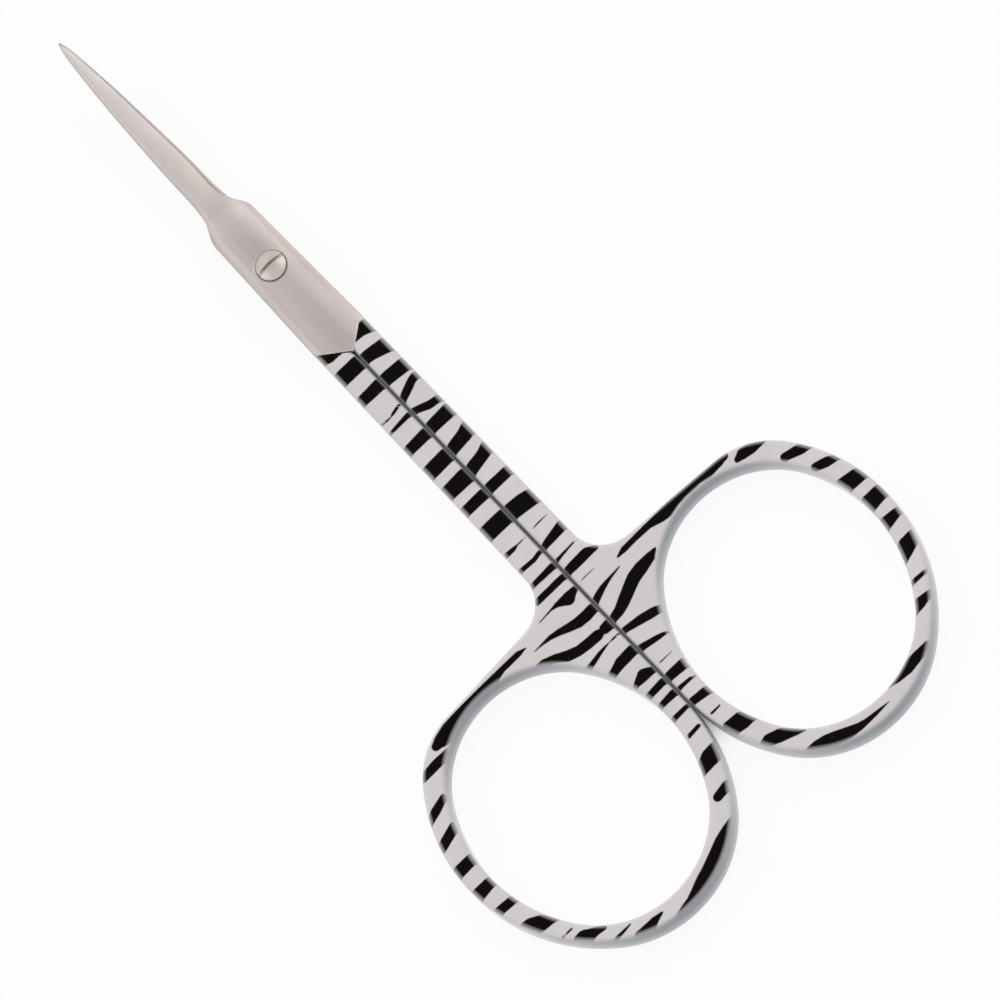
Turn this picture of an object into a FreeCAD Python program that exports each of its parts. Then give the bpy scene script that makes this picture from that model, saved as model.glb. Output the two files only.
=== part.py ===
"""Cuticle scissors with curved blades, a lap joint and lacquered finger bows.

Two forged halves cross at a lap joint and turn on one slotted screw. Each half
is one piece of steel from its tip to its finger bow, and its handle wears a
thin printed lacquer coat that ends at the lap's shoulder.

Axes: the pivot's axis is Z, with the origin on the flat underside of the lap.
The closed blades reach along +X and curve up. The upper half's handle lies on
the -Y side and the lower half's on the +Y side. Lengths are in millimetres.
"""
import FreeCAD, Part
import math
import os
import Sketcher

DRIVING_SIZES = {
    # Lap joint and its shoulders
    "overall_thickness": 2.5,
    "lap_gap": 0.04,
    "lap_seat_gap": 0.12,
    "lap_front_reach": 5.0,
    "lap_front_half_width": 2.46,
    "lap_rear_half_width": 2.75,
    "lap_bevel_depth": 0.30,
    "lap_own_bevel_width": 0.90,
    "lap_other_bevel_width": 0.65,
    "shoulder_outer_back": 9.35,
    "shoulder_rake": 2.15,
    # Blades, measured along the inner face from the pivot
    "neck_reach": 8.6,
    "blade_length": 28.83,
    "blade_half_width": 1.43,
    "blade_root_thickness": 1.05,
    "bend_start": 8.0,
    "bend_radius": 48.0,
    "spine_bevel_width": 0.40,
    "spine_bevel_depth": 0.32,
    "edge_bevel_width": 0.26,
    "edge_land": 0.08,
    "edge_setback": 0.10,
    "blade_crown": 0.07,
    # Shanks and finger bows
    "seam_gap": 0.10,
    "shank_rear_half_width": 2.95,
    "crotch_radius": 3.7,
    "bow_shoulder_back": 42.0,
    "bow_shoulder_lean": 3.7,
    "bow_shoulder_wall": 1.23,
    "bow_corner_turn": 41.0,
    "bow_hole_half_length": 13.05,
    "bow_hole_half_width": 10.43,
    "bow_hole_end_drop": 1.00,
    "bow_hole_lean": 3.0,
    "bow_end_wall": 2.15,
    "bow_side_wall": 2.10,
    "bow_end_drop": 1.68,
    "bow_lean": 8.0,
    "handle_edge_radius": 0.50,
    "coat_thickness": 0.12,
    # Pivot screw
    "head_diameter": 2.85,
    "head_rim_height": 0.68,
    "head_dome_height": 0.44,
    "head_seat_gap": 0.02,
    "head_side_gap": 0.135,
    "recess_depth": 0.60,
    "thread_diameter": 1.60,
    "thread_clearance": 0.02,
    "journal_step": 0.15,
    "journal_clearance": 0.03,
    "slot_width": 0.30,
    "slot_depth": 0.42,
}

# Stations of the neck, from the lap's front to the blade's root. Reach is a
# share of the neck's length. The edge, spine and body shares fade from the
# lap's section (1) to the blade's (0), for the cutting side, the spine side
# and the thickness.
NECK_SHARES = (
    {"reach": 0.00, "edge": 1.00, "spine": 1.00, "body": 1.00},
    {"reach": 0.09, "edge": 0.99, "spine": 0.87, "body": 0.92},
    {"reach": 0.28, "edge": 0.92, "spine": 0.58, "body": 0.72},
    {"reach": 0.60, "edge": 0.48, "spine": 0.22, "body": 0.30},
    {"reach": 1.00, "edge": 0.00, "spine": 0.00, "body": 0.00},
)
# Stations of the blade, from its root to its tip. Reach is a share of the
# blade's length beyond the neck, width and body are shares of the root's.
BLADE_SHARES = (
    {"reach": 0.18, "width": 0.92, "body": 0.91},
    {"reach": 0.44, "width": 0.79, "body": 0.77},
    {"reach": 0.70, "width": 0.59, "body": 0.60},
    {"reach": 0.87, "width": 0.38, "body": 0.45},
    {"reach": 0.96, "width": 0.22, "body": 0.34},
    {"reach": 1.00, "width": 0.07, "body": 0.22},
)
# The blade's thickness at its cutting side, as a share of that at its spine
EDGE_BODY_SHARE = 0.55

UPPER = -1
LOWER = 1

# Formulas that several pieces share
LAYER = "((Sizes.overall_thickness - Sizes.lap_gap) / 2)"
UPPER_LAYER_BASE = "((Sizes.overall_thickness + Sizes.lap_gap) / 2)"
HEAD_SEAT = "(Sizes.overall_thickness - Sizes.recess_depth + Sizes.head_seat_gap)"
JOURNAL_RADIUS = "(Sizes.thread_diameter / 2 + Sizes.journal_step)"

doc = FreeCAD.newDocument("CuticleScissors")
sheet = doc.addObject("Spreadsheet::Sheet", "Sizes")
for row, (alias, number) in enumerate(DRIVING_SIZES.items(), start=1):
    sheet.set(f"A{row}", alias)
    sheet.set(f"B{row}", str(number))
    sheet.setAlias(f"B{row}", alias)
doc.recompute()


def size(name):
    """Read one driving size from the sheet."""
    return float(sheet.get(name))


def worked_out(formula):
    """Work out a formula that names sizes of the sheet."""
    return float(sheet.evalExpression(formula))


def origin_plane(body, role):
    """Find one of a body's own origin planes."""
    return next(item for item in body.Origin.OriginFeatures if item.Role == role)


def new_body(name, label):
    """Start a body that becomes one node."""
    body = doc.addObject("PartDesign::Body", name)
    body.Label = label
    return body


def new_sketch(body, name, role, lift="0"):
    """Start a sketch on an origin plane, raised along the plane's normal."""
    sketch = body.newObject("Sketcher::SketchObject", name)
    sketch.AttachmentSupport = [(origin_plane(body, role), "")]
    sketch.MapMode = "FlatFace"
    sketch.AttachmentOffset = FreeCAD.Placement(
        FreeCAD.Vector(0, 0, worked_out(lift)), FreeCAD.Rotation()
    )
    sketch.setExpression("AttachmentOffset.Base.z", lift)
    return sketch


def bound(sketch, name, constraint, formula):
    """Add a dimension to a sketch and tie it to the sheet."""
    index = sketch.addConstraint(constraint)
    sketch.renameConstraint(index, name)
    sketch.setExpression(f"Constraints.{name}", formula)


def pin(sketch, name, geometry, end, across, up):
    """Place one end of a line by its two coordinates."""
    bound(
        sketch,
        f"{name}_across",
        Sketcher.Constraint("DistanceX", -1, 1, geometry, end, worked_out(across)),
        across,
    )
    bound(
        sketch,
        f"{name}_up",
        Sketcher.Constraint("DistanceY", -1, 1, geometry, end, worked_out(up)),
        up,
    )


def close_ring(sketch, edges, spots):
    """Join a ring of edges, each of which starts at its own spot."""
    starts = []
    for edge, spot in zip(edges, spots):
        drawn = sketch.Geometry[edge]
        forward = drawn.StartPoint.distanceToPoint(spot) < drawn.EndPoint.distanceToPoint(spot)
        starts.append(1 if forward else 2)
    for index, edge in enumerate(edges):
        following = (index + 1) % len(edges)
        sketch.addConstraint(
            Sketcher.Constraint(
                "Coincident", edge, 3 - starts[index], edges[following], starts[following]
            )
        )
    return starts


def crown_radius(start, finish, crown):
    """Give the formula of an arc's radius from its ends and its rise."""
    chord_squared = f"(({finish[0]} - {start[0]})^2 + ({finish[1]} - {start[1]})^2)"
    return f"{chord_squared} / (8 * {crown}) + {crown} / 2"


def polygon(sketch, corners, crown_edge=None, crown=None):
    """Draw a closed outline through pinned corners.

    One edge may be an arc that rises outwards by the crown over its chord.
    """
    spots = [FreeCAD.Vector(worked_out(across), worked_out(up), 0) for across, up in corners]
    edges = []
    for index, start in enumerate(spots):
        finish = spots[(index + 1) % len(spots)]
        if index == crown_edge:
            chord = finish - start
            outward = FreeCAD.Vector(chord.y, -chord.x, 0).normalize()
            top = (start + finish) / 2 + outward * worked_out(crown)
            edges.append(sketch.addGeometry(Part.Arc(start, top, finish)))
        else:
            edges.append(sketch.addGeometry(Part.LineSegment(start, finish)))
    starts = close_ring(sketch, edges, spots)
    for index, (across, up) in enumerate(corners):
        pin(sketch, f"corner{index}", edges[index], starts[index], across, up)
    if crown_edge is not None:
        finish = corners[(crown_edge + 1) % len(corners)]
        formula = crown_radius(corners[crown_edge], finish, crown)
        radius = Sketcher.Constraint("Radius", edges[crown_edge], worked_out(formula))
        bound(sketch, "crown_radius", radius, formula)


def circle_sketch(body, name, lift, radius):
    """Draw a circle on the pivot's axis."""
    sketch = new_sketch(body, name, "XY_Plane", lift)
    circle = Part.Circle(FreeCAD.Vector(), FreeCAD.Vector(0, 0, 1), worked_out(radius))
    edge = sketch.addGeometry(circle)
    sketch.addConstraint(Sketcher.Constraint("Coincident", edge, 3, -1, 1))
    bound(sketch, "radius", Sketcher.Constraint("Radius", edge, worked_out(radius)), radius)
    return sketch


def pad(body, name, sketch, length):
    """Raise a sketch by a length from the sheet."""
    feature = body.newObject("PartDesign::Pad", name)
    feature.Profile = sketch
    feature.setExpression("Length", length)
    doc.recompute()
    return feature


def pocket(body, name, sketch, depth=None):
    """Cut a sketch downwards to a depth, or right through without one."""
    before = body.Shape.Volume
    feature = body.newObject("PartDesign::Pocket", name)
    feature.Profile = sketch
    if depth is None:
        feature.Type = "ThroughAll"
    else:
        feature.setExpression("Length", depth)
    doc.recompute()
    if feature.Shape.Volume >= before:
        raise RuntimeError(f"{name} cuts nothing")
    return feature


def crossing(first_point, first_normal, second_point, second_normal):
    """Find where two lines in the plan cross, each given by a point and its normal."""
    first = first_point.dot(first_normal)
    second = second_point.dot(second_normal)
    scale = first_normal.x * second_normal.y - first_normal.y * second_normal.x
    across = (first * second_normal.y - second * first_normal.y) / scale
    along = (second * first_normal.x - first * second_normal.x) / scale
    return FreeCAD.Vector(across, along, 0)


def heading(turn):
    """Give the direction at a turn from +X, in radians."""
    return FreeCAD.Vector(math.cos(turn), math.sin(turn), 0)


class Oval:
    """An oval of four arcs that meet smoothly.

    Its arcs are named by the turn, from the oval's own long axis, at which
    they face outwards: an end arc at 0 and 180 degrees, a side arc at 90 and
    270. The end arcs' radius is smaller than the half width by the end drop.
    Grown or shrunk evenly all round, the oval keeps its arcs' centres.
    """

    def __init__(self, half_length, half_width, end_drop, lean, growth):
        end_radius = half_width - end_drop
        squares = (half_length - end_radius) ** 2 + half_width ** 2 - end_radius ** 2
        side_radius = squares / (2 * end_drop)
        self.end_offset = half_length - end_radius
        self.side_offset = side_radius - half_width
        self.end_radius = end_radius + growth
        self.side_radius = side_radius + growth
        self.lean = lean
        self.centre = FreeCAD.Vector()
        self.joint_turn = math.atan2(self.side_offset, self.end_offset)

    def on_end(self, turn):
        """Tell whether an end arc faces a turn."""
        return abs(math.cos(turn)) >= math.cos(self.joint_turn)

    def arc_at(self, turn):
        """Give the centre and radius of the arc that faces a turn."""
        if self.on_end(turn):
            offset = self.end_offset if math.cos(turn) > 0 else -self.end_offset
            return self.centre + heading(self.lean) * offset, self.end_radius
        offset = -self.side_offset if math.sin(turn) > 0 else self.side_offset
        across = heading(self.lean + math.pi / 2)
        return self.centre + across * offset, self.side_radius

    def point(self, turn):
        """Give the point that faces a turn."""
        centre, radius = self.arc_at(turn)
        return centre + heading(self.lean + turn) * radius

    def turns(self, start, finish):
        """Give the turns that part the oval's arcs from a start to a finish."""
        joints = [
            self.joint_turn,
            math.pi - self.joint_turn,
            math.pi + self.joint_turn,
            2 * math.pi - self.joint_turn,
        ]
        return [start, *[turn for turn in joints if start < turn < finish], finish]


class HandleOutline:
    """The plan of one handle, drawn for the side where Y is positive.

    The inset is 0 for the coat's outside and the coat's thickness for the
    steel under it, so both follow the same sizes.
    """

    def __init__(self, inset, margin):
        self.inset = inset
        self.margin = margin
        self.bow = Oval(
            size("bow_hole_half_length") + size("bow_end_wall"),
            size("bow_hole_half_width") + size("bow_side_wall"),
            size("bow_end_drop"),
            math.radians(size("bow_lean")),
            -inset,
        )
        self.hole = Oval(
            size("bow_hole_half_length"),
            size("bow_hole_half_width"),
            size("bow_hole_end_drop"),
            math.radians(size("bow_hole_lean")),
            inset,
        )
        self.place_lines()
        self.place_bow()
        self.place_bow_corner()
        self.place_corners()

    def place_lines(self):
        """Set the three straight sides: shoulder, shank and bow shoulder."""
        rear = size("shank_rear_half_width")
        front = size("lap_rear_half_width")
        front_corner = FreeCAD.Vector(-size("shoulder_outer_back"), front, 0)
        rear_corner = FreeCAD.Vector(-size("bow_shoulder_back"), rear, 0)
        run = (front_corner - rear_corner).normalize()
        self.shank_normal = FreeCAD.Vector(-run.y, run.x, 0)
        self.shank_point = front_corner - self.shank_normal * self.inset
        seam_back = size("shoulder_outer_back") + size("shoulder_rake")
        seam_corner = FreeCAD.Vector(-seam_back, 0, 0)
        leg = (front_corner - seam_corner).normalize()
        self.leg_normal = FreeCAD.Vector(leg.y, -leg.x, 0)
        self.leg_point = front_corner
        self.shoulder_normal = heading(math.radians(size("bow_shoulder_lean")))
        self.shoulder_point = rear_corner - self.shoulder_normal * self.inset

    def place_bow(self):
        """Rest the bow on the seam and set its hole a wall behind the bow's shoulder."""
        self.seam_turn = 3 * math.pi / 2 - self.bow.lean
        drop = -self.bow.point(self.seam_turn).y + self.inset
        centre = FreeCAD.Vector(0, size("seam_gap") / 2 + drop, 0)
        facing = math.radians(size("bow_shoulder_lean") - size("bow_hole_lean"))
        to_shoulder = self.shoulder_point - centre - self.hole.point(facing)
        wall = size("bow_shoulder_wall") - 2 * self.inset
        centre.x = (to_shoulder.dot(self.shoulder_normal) - wall) / self.shoulder_normal.x
        self.bow.centre = centre
        self.hole.centre = centre
        self.seam_end = self.bow.point(self.seam_turn)

    def place_bow_corner(self):
        """Round the bow's outer near corner between its shoulder and the oval."""
        turn = math.radians(size("bow_corner_turn"))
        outward = heading(self.bow.lean + turn)
        self.corner_end = self.bow.point(turn)
        gap = (self.shoulder_point - self.corner_end).dot(self.shoulder_normal)
        radius = gap / (1 - outward.dot(self.shoulder_normal))
        self.corner_centre = self.corner_end - outward * radius
        self.corner_start = self.corner_centre + self.shoulder_normal * radius

    def place_corners(self):
        """Find where the outline's lines and the crotch's arc meet."""
        self.shoulder_inner = crossing(
            self.leg_point, self.leg_normal, self.seam_end, heading(math.pi / 2)
        )
        self.shoulder_outer = crossing(
            self.leg_point, self.leg_normal, self.shank_point, self.shank_normal
        )
        radius = size("crotch_radius") + self.inset
        self.crotch_centre = crossing(
            self.shank_point + self.shank_normal * radius,
            self.shank_normal,
            self.shoulder_point + self.shoulder_normal * radius,
            self.shoulder_normal,
        )
        self.crotch_start = self.crotch_centre - self.shank_normal * radius
        self.crotch_end = self.crotch_centre - self.shoulder_normal * radius

    def signed(self, point, side):
        """Mirror a point to the handle's own side of the seam."""
        return FreeCAD.Vector(point.x, side * point.y, 0)

    def line(self, sketch, start, finish, side):
        """Draw a straight side."""
        return sketch.addGeometry(
            Part.LineSegment(self.signed(start, side), self.signed(finish, side))
        )

    def arc(self, sketch, centre, start, finish, side):
        """Draw the short arc between two points about a centre."""
        first = start - centre
        second = finish - centre
        middle = (first + second).normalize() * first.Length
        leftward = (first.x * second.y - first.y * second.x) * side > 0
        if not leftward:
            start, finish = finish, start
        return sketch.addGeometry(
            Part.Arc(
                self.signed(start, side),
                self.signed(centre + middle, side),
                self.signed(finish, side),
            )
        )

    def oval_arcs(self, sketch, name, oval, turns, end_formula, side):
        """Draw an oval's arcs between the given turns and tie its end arcs."""
        edges = []
        for start, finish in zip(turns, turns[1:]):
            middle = (start + finish) / 2
            centre = oval.arc_at(middle)[0]
            edge = self.arc(sketch, centre, oval.point(start), oval.point(finish), side)
            if oval.on_end(middle):
                self.tie_radius(sketch, f"{name}_end{edge}", edge, end_formula)
            edges.append(edge)
        return edges

    def draw(self, sketch, side):
        """Draw the outline and the finger hole in a sketch."""
        turns = self.bow.turns(math.radians(size("bow_corner_turn")), self.seam_turn)
        half_width = "Sizes.bow_hole_half_width + Sizes.bow_side_wall"
        end_formula = f"{half_width} - Sizes.bow_end_drop - {self.margin}"
        edges = [
            self.line(sketch, self.seam_end, self.shoulder_inner, side),
            self.line(sketch, self.shoulder_inner, self.shoulder_outer, side),
            self.line(sketch, self.shoulder_outer, self.crotch_start, side),
            self.arc(sketch, self.crotch_centre, self.crotch_start, self.crotch_end, side),
            self.line(sketch, self.crotch_end, self.corner_start, side),
            self.arc(sketch, self.corner_centre, self.corner_start, self.corner_end, side),
            *self.oval_arcs(sketch, "bow", self.bow, turns, end_formula, side),
        ]
        spots = [
            self.seam_end,
            self.shoulder_inner,
            self.shoulder_outer,
            self.crotch_start,
            self.crotch_end,
            self.corner_start,
            *[self.bow.point(turn) for turn in turns[:-1]],
        ]
        close_ring(sketch, edges, [self.signed(spot, side) for spot in spots])
        self.tie_radius(sketch, "crotch", edges[3], f"Sizes.crotch_radius + {self.margin}")
        self.draw_hole(sketch, side)

    def draw_hole(self, sketch, side):
        """Draw the finger hole."""
        start = -self.hole.joint_turn
        turns = self.hole.turns(start, start + 2 * math.pi)
        formula = f"Sizes.bow_hole_half_width - Sizes.bow_hole_end_drop + {self.margin}"
        edges = self.oval_arcs(sketch, "hole", self.hole, turns, formula, side)
        spots = [self.signed(self.hole.point(turn), side) for turn in turns[:-1]]
        close_ring(sketch, edges, spots)

    def tie_radius(self, sketch, name, edge, formula):
        """Tie an arc's radius to the sheet."""
        bound(
            sketch,
            f"{name}_radius",
            Sketcher.Constraint("Radius", edge, worked_out(formula)),
            formula,
        )


def level_edges(shape, outline, side):
    """Name the edges that run level, apart from those of the shoulder."""
    names = []
    for index, edge in enumerate(shape.Edges, start=1):
        level = edge.BoundBox.ZLength < size("coat_thickness") / 2
        middle = edge.valueAt((edge.FirstParameter + edge.LastParameter) / 2)
        off_shoulder = (outline.signed(middle, side) - outline.leg_point).dot(outline.leg_normal)
        if level and abs(off_shoulder) > size("coat_thickness") / 2:
            names.append(f"Edge{index}")
    return names


def flat_cut(body, name, base, outline, side, leg):
    """Cut an even flat along every level edge."""
    chamfer = body.newObject("PartDesign::Chamfer", name)
    chamfer.Base = (base, level_edges(base.Shape, outline, side))
    chamfer.setExpression("Size", leg)
    doc.recompute()
    return chamfer


def handle_blank(body, name, side, inset):
    """Make a whole handle with rounded edges, inset all over from the coat.

    The steel's round is one flat and the coat's is three, each touching the
    true arc. The edges of the shoulder stay sharp, where the coat ends.
    """
    margin = "Sizes.coat_thickness" if inset else "0"
    outline = HandleOutline(inset, margin)
    sketch = new_sketch(body, f"{name}Outline", "XY_Plane", margin)
    outline.draw(sketch, side)
    raised = pad(body, f"{name}Blank", sketch, f"Sizes.overall_thickness - 2 * {margin}")
    radius = f"(Sizes.handle_edge_radius - {margin})"
    flat = flat_cut(body, f"{name}Flat", raised, outline, side, f"{radius} * (2 - sqrt(2))")
    if not inset:
        leg = f"{radius} * (tan(22.5) - tan(11.25))"
        flat_cut(body, f"{name}SideFlats", flat, outline, side, leg)


LEG_SLOPE = "(Sizes.shoulder_rake / Sizes.lap_rear_half_width)"
SEAT_SHIFT = f"(Sizes.lap_seat_gap * sqrt(1 + {LEG_SLOPE}^2))"


def lap_plate(body, name, side):
    """Make the half's own layer of the lap, with a bevel along each side."""
    base = UPPER_LAYER_BASE if side == UPPER else "0"
    outer_x = "(-1 * Sizes.shoulder_outer_back)"
    seam_x = f"({outer_x} - Sizes.shoulder_rake + {LEG_SLOPE} * Sizes.seam_gap / 2)"
    own_seam_y = f"({side} * Sizes.seam_gap / 2)"
    other_seam_y = f"({-side} * Sizes.seam_gap / 2)"
    corners = [
        (outer_x, f"({side} * Sizes.lap_rear_half_width)"),
        (seam_x, own_seam_y),
        (f"({seam_x} + {SEAT_SHIFT})", other_seam_y),
        (f"({outer_x} + {SEAT_SHIFT})", f"({-side} * Sizes.lap_rear_half_width)"),
        ("Sizes.lap_front_reach", f"({-side} * Sizes.lap_front_half_width)"),
        ("Sizes.lap_front_reach", f"({side} * Sizes.lap_front_half_width)"),
    ]
    sketch = new_sketch(body, f"{name}Plan", "XY_Plane", base)
    polygon(sketch, corners)
    return pad(body, f"{name}Plate", sketch, LAYER)


def lap_bevel(body, name, plate, own, side):
    """Bevel one long outer edge of the lap."""
    face_height = size("overall_thickness") if side == UPPER else 0
    edge_side = side if own else -side
    rear = size("lap_rear_half_width")
    chosen = None
    for index, edge in enumerate(plate.Shape.Edges, start=1):
        if len(edge.Vertexes) < 2:
            continue
        ends = [vertex.Point for vertex in edge.Vertexes]
        level = all(abs(end.z - face_height) < size("lap_gap") / 2 for end in ends)
        beside = all(end.y * edge_side > rear / 2 for end in ends)
        ahead = all(end.x > -size("shoulder_outer_back") - size("lap_gap") for end in ends)
        long = (ends[0] - ends[1]).Length > size("lap_front_reach")
        if level and beside and ahead and long:
            chosen = f"Edge{index}"
    chamfer = body.newObject("PartDesign::Chamfer", name)
    chamfer.Base = (plate, [chosen])
    chamfer.ChamferType = "Two distances"
    width = "lap_own_bevel_width" if own else "lap_other_bevel_width"
    chamfer.setExpression("Size", "Sizes.lap_bevel_depth")
    chamfer.setExpression("Size2", f"Sizes.{width}")
    doc.recompute()
    wall_height = face_height + side * size("lap_bevel_depth")
    beside = [v.Point for v in chamfer.Shape.Vertexes if v.Point.y * edge_side > rear / 2]
    if not any(abs(point.z - wall_height) < size("lap_gap") / 2 for point in beside):
        chamfer.FlipDirection = True
        doc.recompute()
    return chamfer


def faded(whole, none, share):
    """Mix two sizes: the first at a share of 1, the second at 0."""
    return f"({none} + ({whole} - {none}) * {share})"


def neck_station(shares):
    """Give the formulas of one station between the lap and the blade."""
    edge = shares["edge"]
    spine = shares["spine"]
    body = shares["body"]
    thickness = faded(LAYER, "Sizes.blade_root_thickness", body)
    edge_share = EDGE_BODY_SHARE + (1 - EDGE_BODY_SHARE) * body
    spine_depth = faded("Sizes.lap_bevel_depth", "Sizes.spine_bevel_depth", spine)
    return {
        "reach": faded("Sizes.neck_reach", "Sizes.lap_front_reach", shares["reach"]),
        "edge_half": faded(
            "Sizes.lap_front_half_width", "(Sizes.blade_half_width - Sizes.edge_setback)", edge
        ),
        "spine_half": faded("Sizes.lap_front_half_width", "Sizes.blade_half_width", spine),
        "body": thickness,
        "edge_body": f"({thickness} * {edge_share})",
        "edge_bevel": faded("Sizes.lap_own_bevel_width", "Sizes.edge_bevel_width", edge),
        "edge_wall": faded(f"({LAYER} - Sizes.lap_bevel_depth)", "Sizes.edge_land", edge),
        "spine_bevel": faded("Sizes.lap_other_bevel_width", "Sizes.spine_bevel_width", spine),
        "spine_wall": f"({thickness} - {spine_depth})",
        "crown": f"(Sizes.blade_crown * {1 - body})",
        "crowned": body < 1,
    }


def blade_station(shares):
    """Give the formulas of one station of the blade."""
    width = shares["width"]
    body = shares["body"]
    thickness = f"(Sizes.blade_root_thickness * {body})"
    return {
        "reach": faded("Sizes.blade_length", "Sizes.neck_reach", shares["reach"]),
        "edge_half": f"((Sizes.blade_half_width - Sizes.edge_setback) * {width})",
        "spine_half": f"(Sizes.blade_half_width * {width})",
        "body": thickness,
        "edge_body": f"({thickness} * {EDGE_BODY_SHARE})",
        "edge_bevel": f"(Sizes.edge_bevel_width * {width})",
        "edge_wall": f"(Sizes.edge_land * {body})",
        "spine_bevel": f"(Sizes.spine_bevel_width * {width})",
        "spine_wall": f"({thickness} - Sizes.spine_bevel_depth * {body})",
        "crown": f"(Sizes.blade_crown * {width})",
        "crowned": True,
    }


def station_sketch(body, name, side, station):
    """Draw a blade's cross-section square to its bent centre line."""
    reach = station["reach"]
    if worked_out(reach) > size("bend_start"):
        turn = f"(({reach} - Sizes.bend_start) / Sizes.bend_radius * 180 / pi)"
        forward = f"(Sizes.bend_start + Sizes.bend_radius * sin({turn}))"
        lift = f"(Sizes.overall_thickness / 2 + Sizes.bend_radius * (1 - cos({turn})))"
    else:
        turn = "0"
        forward = reach
        lift = "(Sizes.overall_thickness / 2)"
    sketch = new_sketch(body, name, "YZ_Plane", forward)
    sketch.AttachmentOffset = FreeCAD.Placement(
        FreeCAD.Vector(0, worked_out(lift), worked_out(forward)),
        FreeCAD.Rotation(FreeCAD.Vector(-1, 0, 0), worked_out(turn)),
    )
    sketch.setExpression("AttachmentOffset.Base.y", lift)
    sketch.setExpression("AttachmentOffset.Rotation.Angle", turn)
    facing = -side
    inner = "(Sizes.lap_gap / 2)"

    def corner(across, up):
        return (f"({facing} * {across})", f"({facing} * ({inner} + {up}))")

    corners = [
        corner(f"(0 - {station['edge_half']})", "0"),
        corner(station["spine_half"], "0"),
        corner(station["spine_half"], station["spine_wall"]),
        corner(f"({station['spine_half']} - {station['spine_bevel']})", station["body"]),
        corner(f"({station['edge_bevel']} - {station['edge_half']})", station["edge_body"]),
        corner(f"(0 - {station['edge_half']})", station["edge_wall"]),
    ]
    if station["crowned"]:
        polygon(sketch, corners, crown_edge=3, crown=station["crown"])
    else:
        polygon(sketch, corners)
    return sketch


def blade(body, name, side):
    """Loft the neck and the bent, tapering blade in one piece."""
    stations = [neck_station(shares) for shares in NECK_SHARES]
    stations += [blade_station(shares) for shares in BLADE_SHARES]
    sketches = [
        station_sketch(body, f"{name}Station{number}", side, station)
        for number, station in enumerate(stations)
    ]
    doc.recompute()
    loft = body.newObject("PartDesign::AdditiveLoft", f"{name}Blade")
    loft.Profile = sketches[0]
    loft.Sections = sketches[1:]
    doc.recompute()
    return loft


def handle_core(name, label, side):
    """Make the handle's steel, which the coat wraps."""
    body = new_body(name, label)
    handle_blank(body, f"{name}Steel", side, size("coat_thickness"))
    return body


def lap_and_blade(name, label, side):
    """Make the bevelled lap layer, its blade and the holes for the screw."""
    body = new_body(name, label)
    plate = lap_plate(body, name, side)
    own = lap_bevel(body, f"{name}OwnBevel", plate, True, side)
    lap_bevel(body, f"{name}OtherBevel", own, False, side)
    blade(body, name, side)
    if side == UPPER:
        top = "Sizes.overall_thickness"
        recess_radius = "(Sizes.head_diameter / 2 + Sizes.head_side_gap)"
        recess = circle_sketch(body, f"{name}Recess", top, recess_radius)
        pocket(body, f"{name}RecessCut", recess, "Sizes.recess_depth")
        bore_radius = f"({JOURNAL_RADIUS} + Sizes.journal_clearance)"
        bore = circle_sketch(body, f"{name}Bore", top, bore_radius)
    else:
        bore_radius = "(Sizes.thread_diameter / 2 + Sizes.thread_clearance)"
        bore = circle_sketch(body, f"{name}Bore", LAYER, bore_radius)
    pocket(body, f"{name}BoreCut", bore)
    return body


def scissor_half(name, label, core, front):
    """Join the handle's steel and the lap with its blade in one forging."""
    half = doc.addObject("Part::Fuse", name)
    half.Base = core
    half.Tool = front
    half.Label = label
    doc.recompute()
    return half


def handle_coat(name, label, side, core):
    """Make the printed lacquer coat as the handle's outside less its steel."""
    envelope = new_body(f"{name}Envelope", f"{label}_envelope")
    handle_blank(envelope, f"{name}Outside", side, 0)
    coat = doc.addObject("Part::Cut", name)
    coat.Base = envelope
    coat.Tool = core
    coat.Label = label
    doc.recompute()
    return coat


def pivot_screw(label):
    """Turn the shoulder screw and cut its slot across the scissors."""
    body = new_body("PivotScrew", label)
    sketch = new_sketch(body, "ScrewProfile", "XZ_Plane")
    rim = f"({HEAD_SEAT} + Sizes.head_rim_height)"
    top = f"({rim} + Sizes.head_dome_height)"
    corners = [
        ("0", "0"),
        ("(Sizes.thread_diameter / 2)", "0"),
        ("(Sizes.thread_diameter / 2)", LAYER),
        (JOURNAL_RADIUS, LAYER),
        (JOURNAL_RADIUS, HEAD_SEAT),
        ("(Sizes.head_diameter / 2)", HEAD_SEAT),
        ("(Sizes.head_diameter / 2)", rim),
        ("0", top),
    ]
    chord_squared = "((Sizes.head_diameter / 2)^2 + Sizes.head_dome_height^2)"
    dome_radius = f"({chord_squared} / (2 * Sizes.head_dome_height))"
    dome_crown = f"({dome_radius} - sqrt({dome_radius}^2 - {chord_squared} / 4))"
    polygon(sketch, corners, crown_edge=6, crown=dome_crown)
    revolution = body.newObject("PartDesign::Revolution", "ScrewTurning")
    revolution.Profile = sketch
    revolution.ReferenceAxis = (sketch, ["V_Axis"])
    revolution.Angle = 360
    doc.recompute()
    slot = new_sketch(body, "SlotPlan", "XY_Plane", top)
    half_slot = "(Sizes.slot_width / 2)"
    reach = "Sizes.head_diameter"
    slot_corners = [
        (f"(-1 * {half_slot})", f"(-1 * {reach})"),
        (half_slot, f"(-1 * {reach})"),
        (half_slot, reach),
        (f"(-1 * {half_slot})", reach),
    ]
    polygon(slot, slot_corners)
    pocket(body, "SlotCut", slot, "Sizes.slot_depth")
    return body


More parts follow.
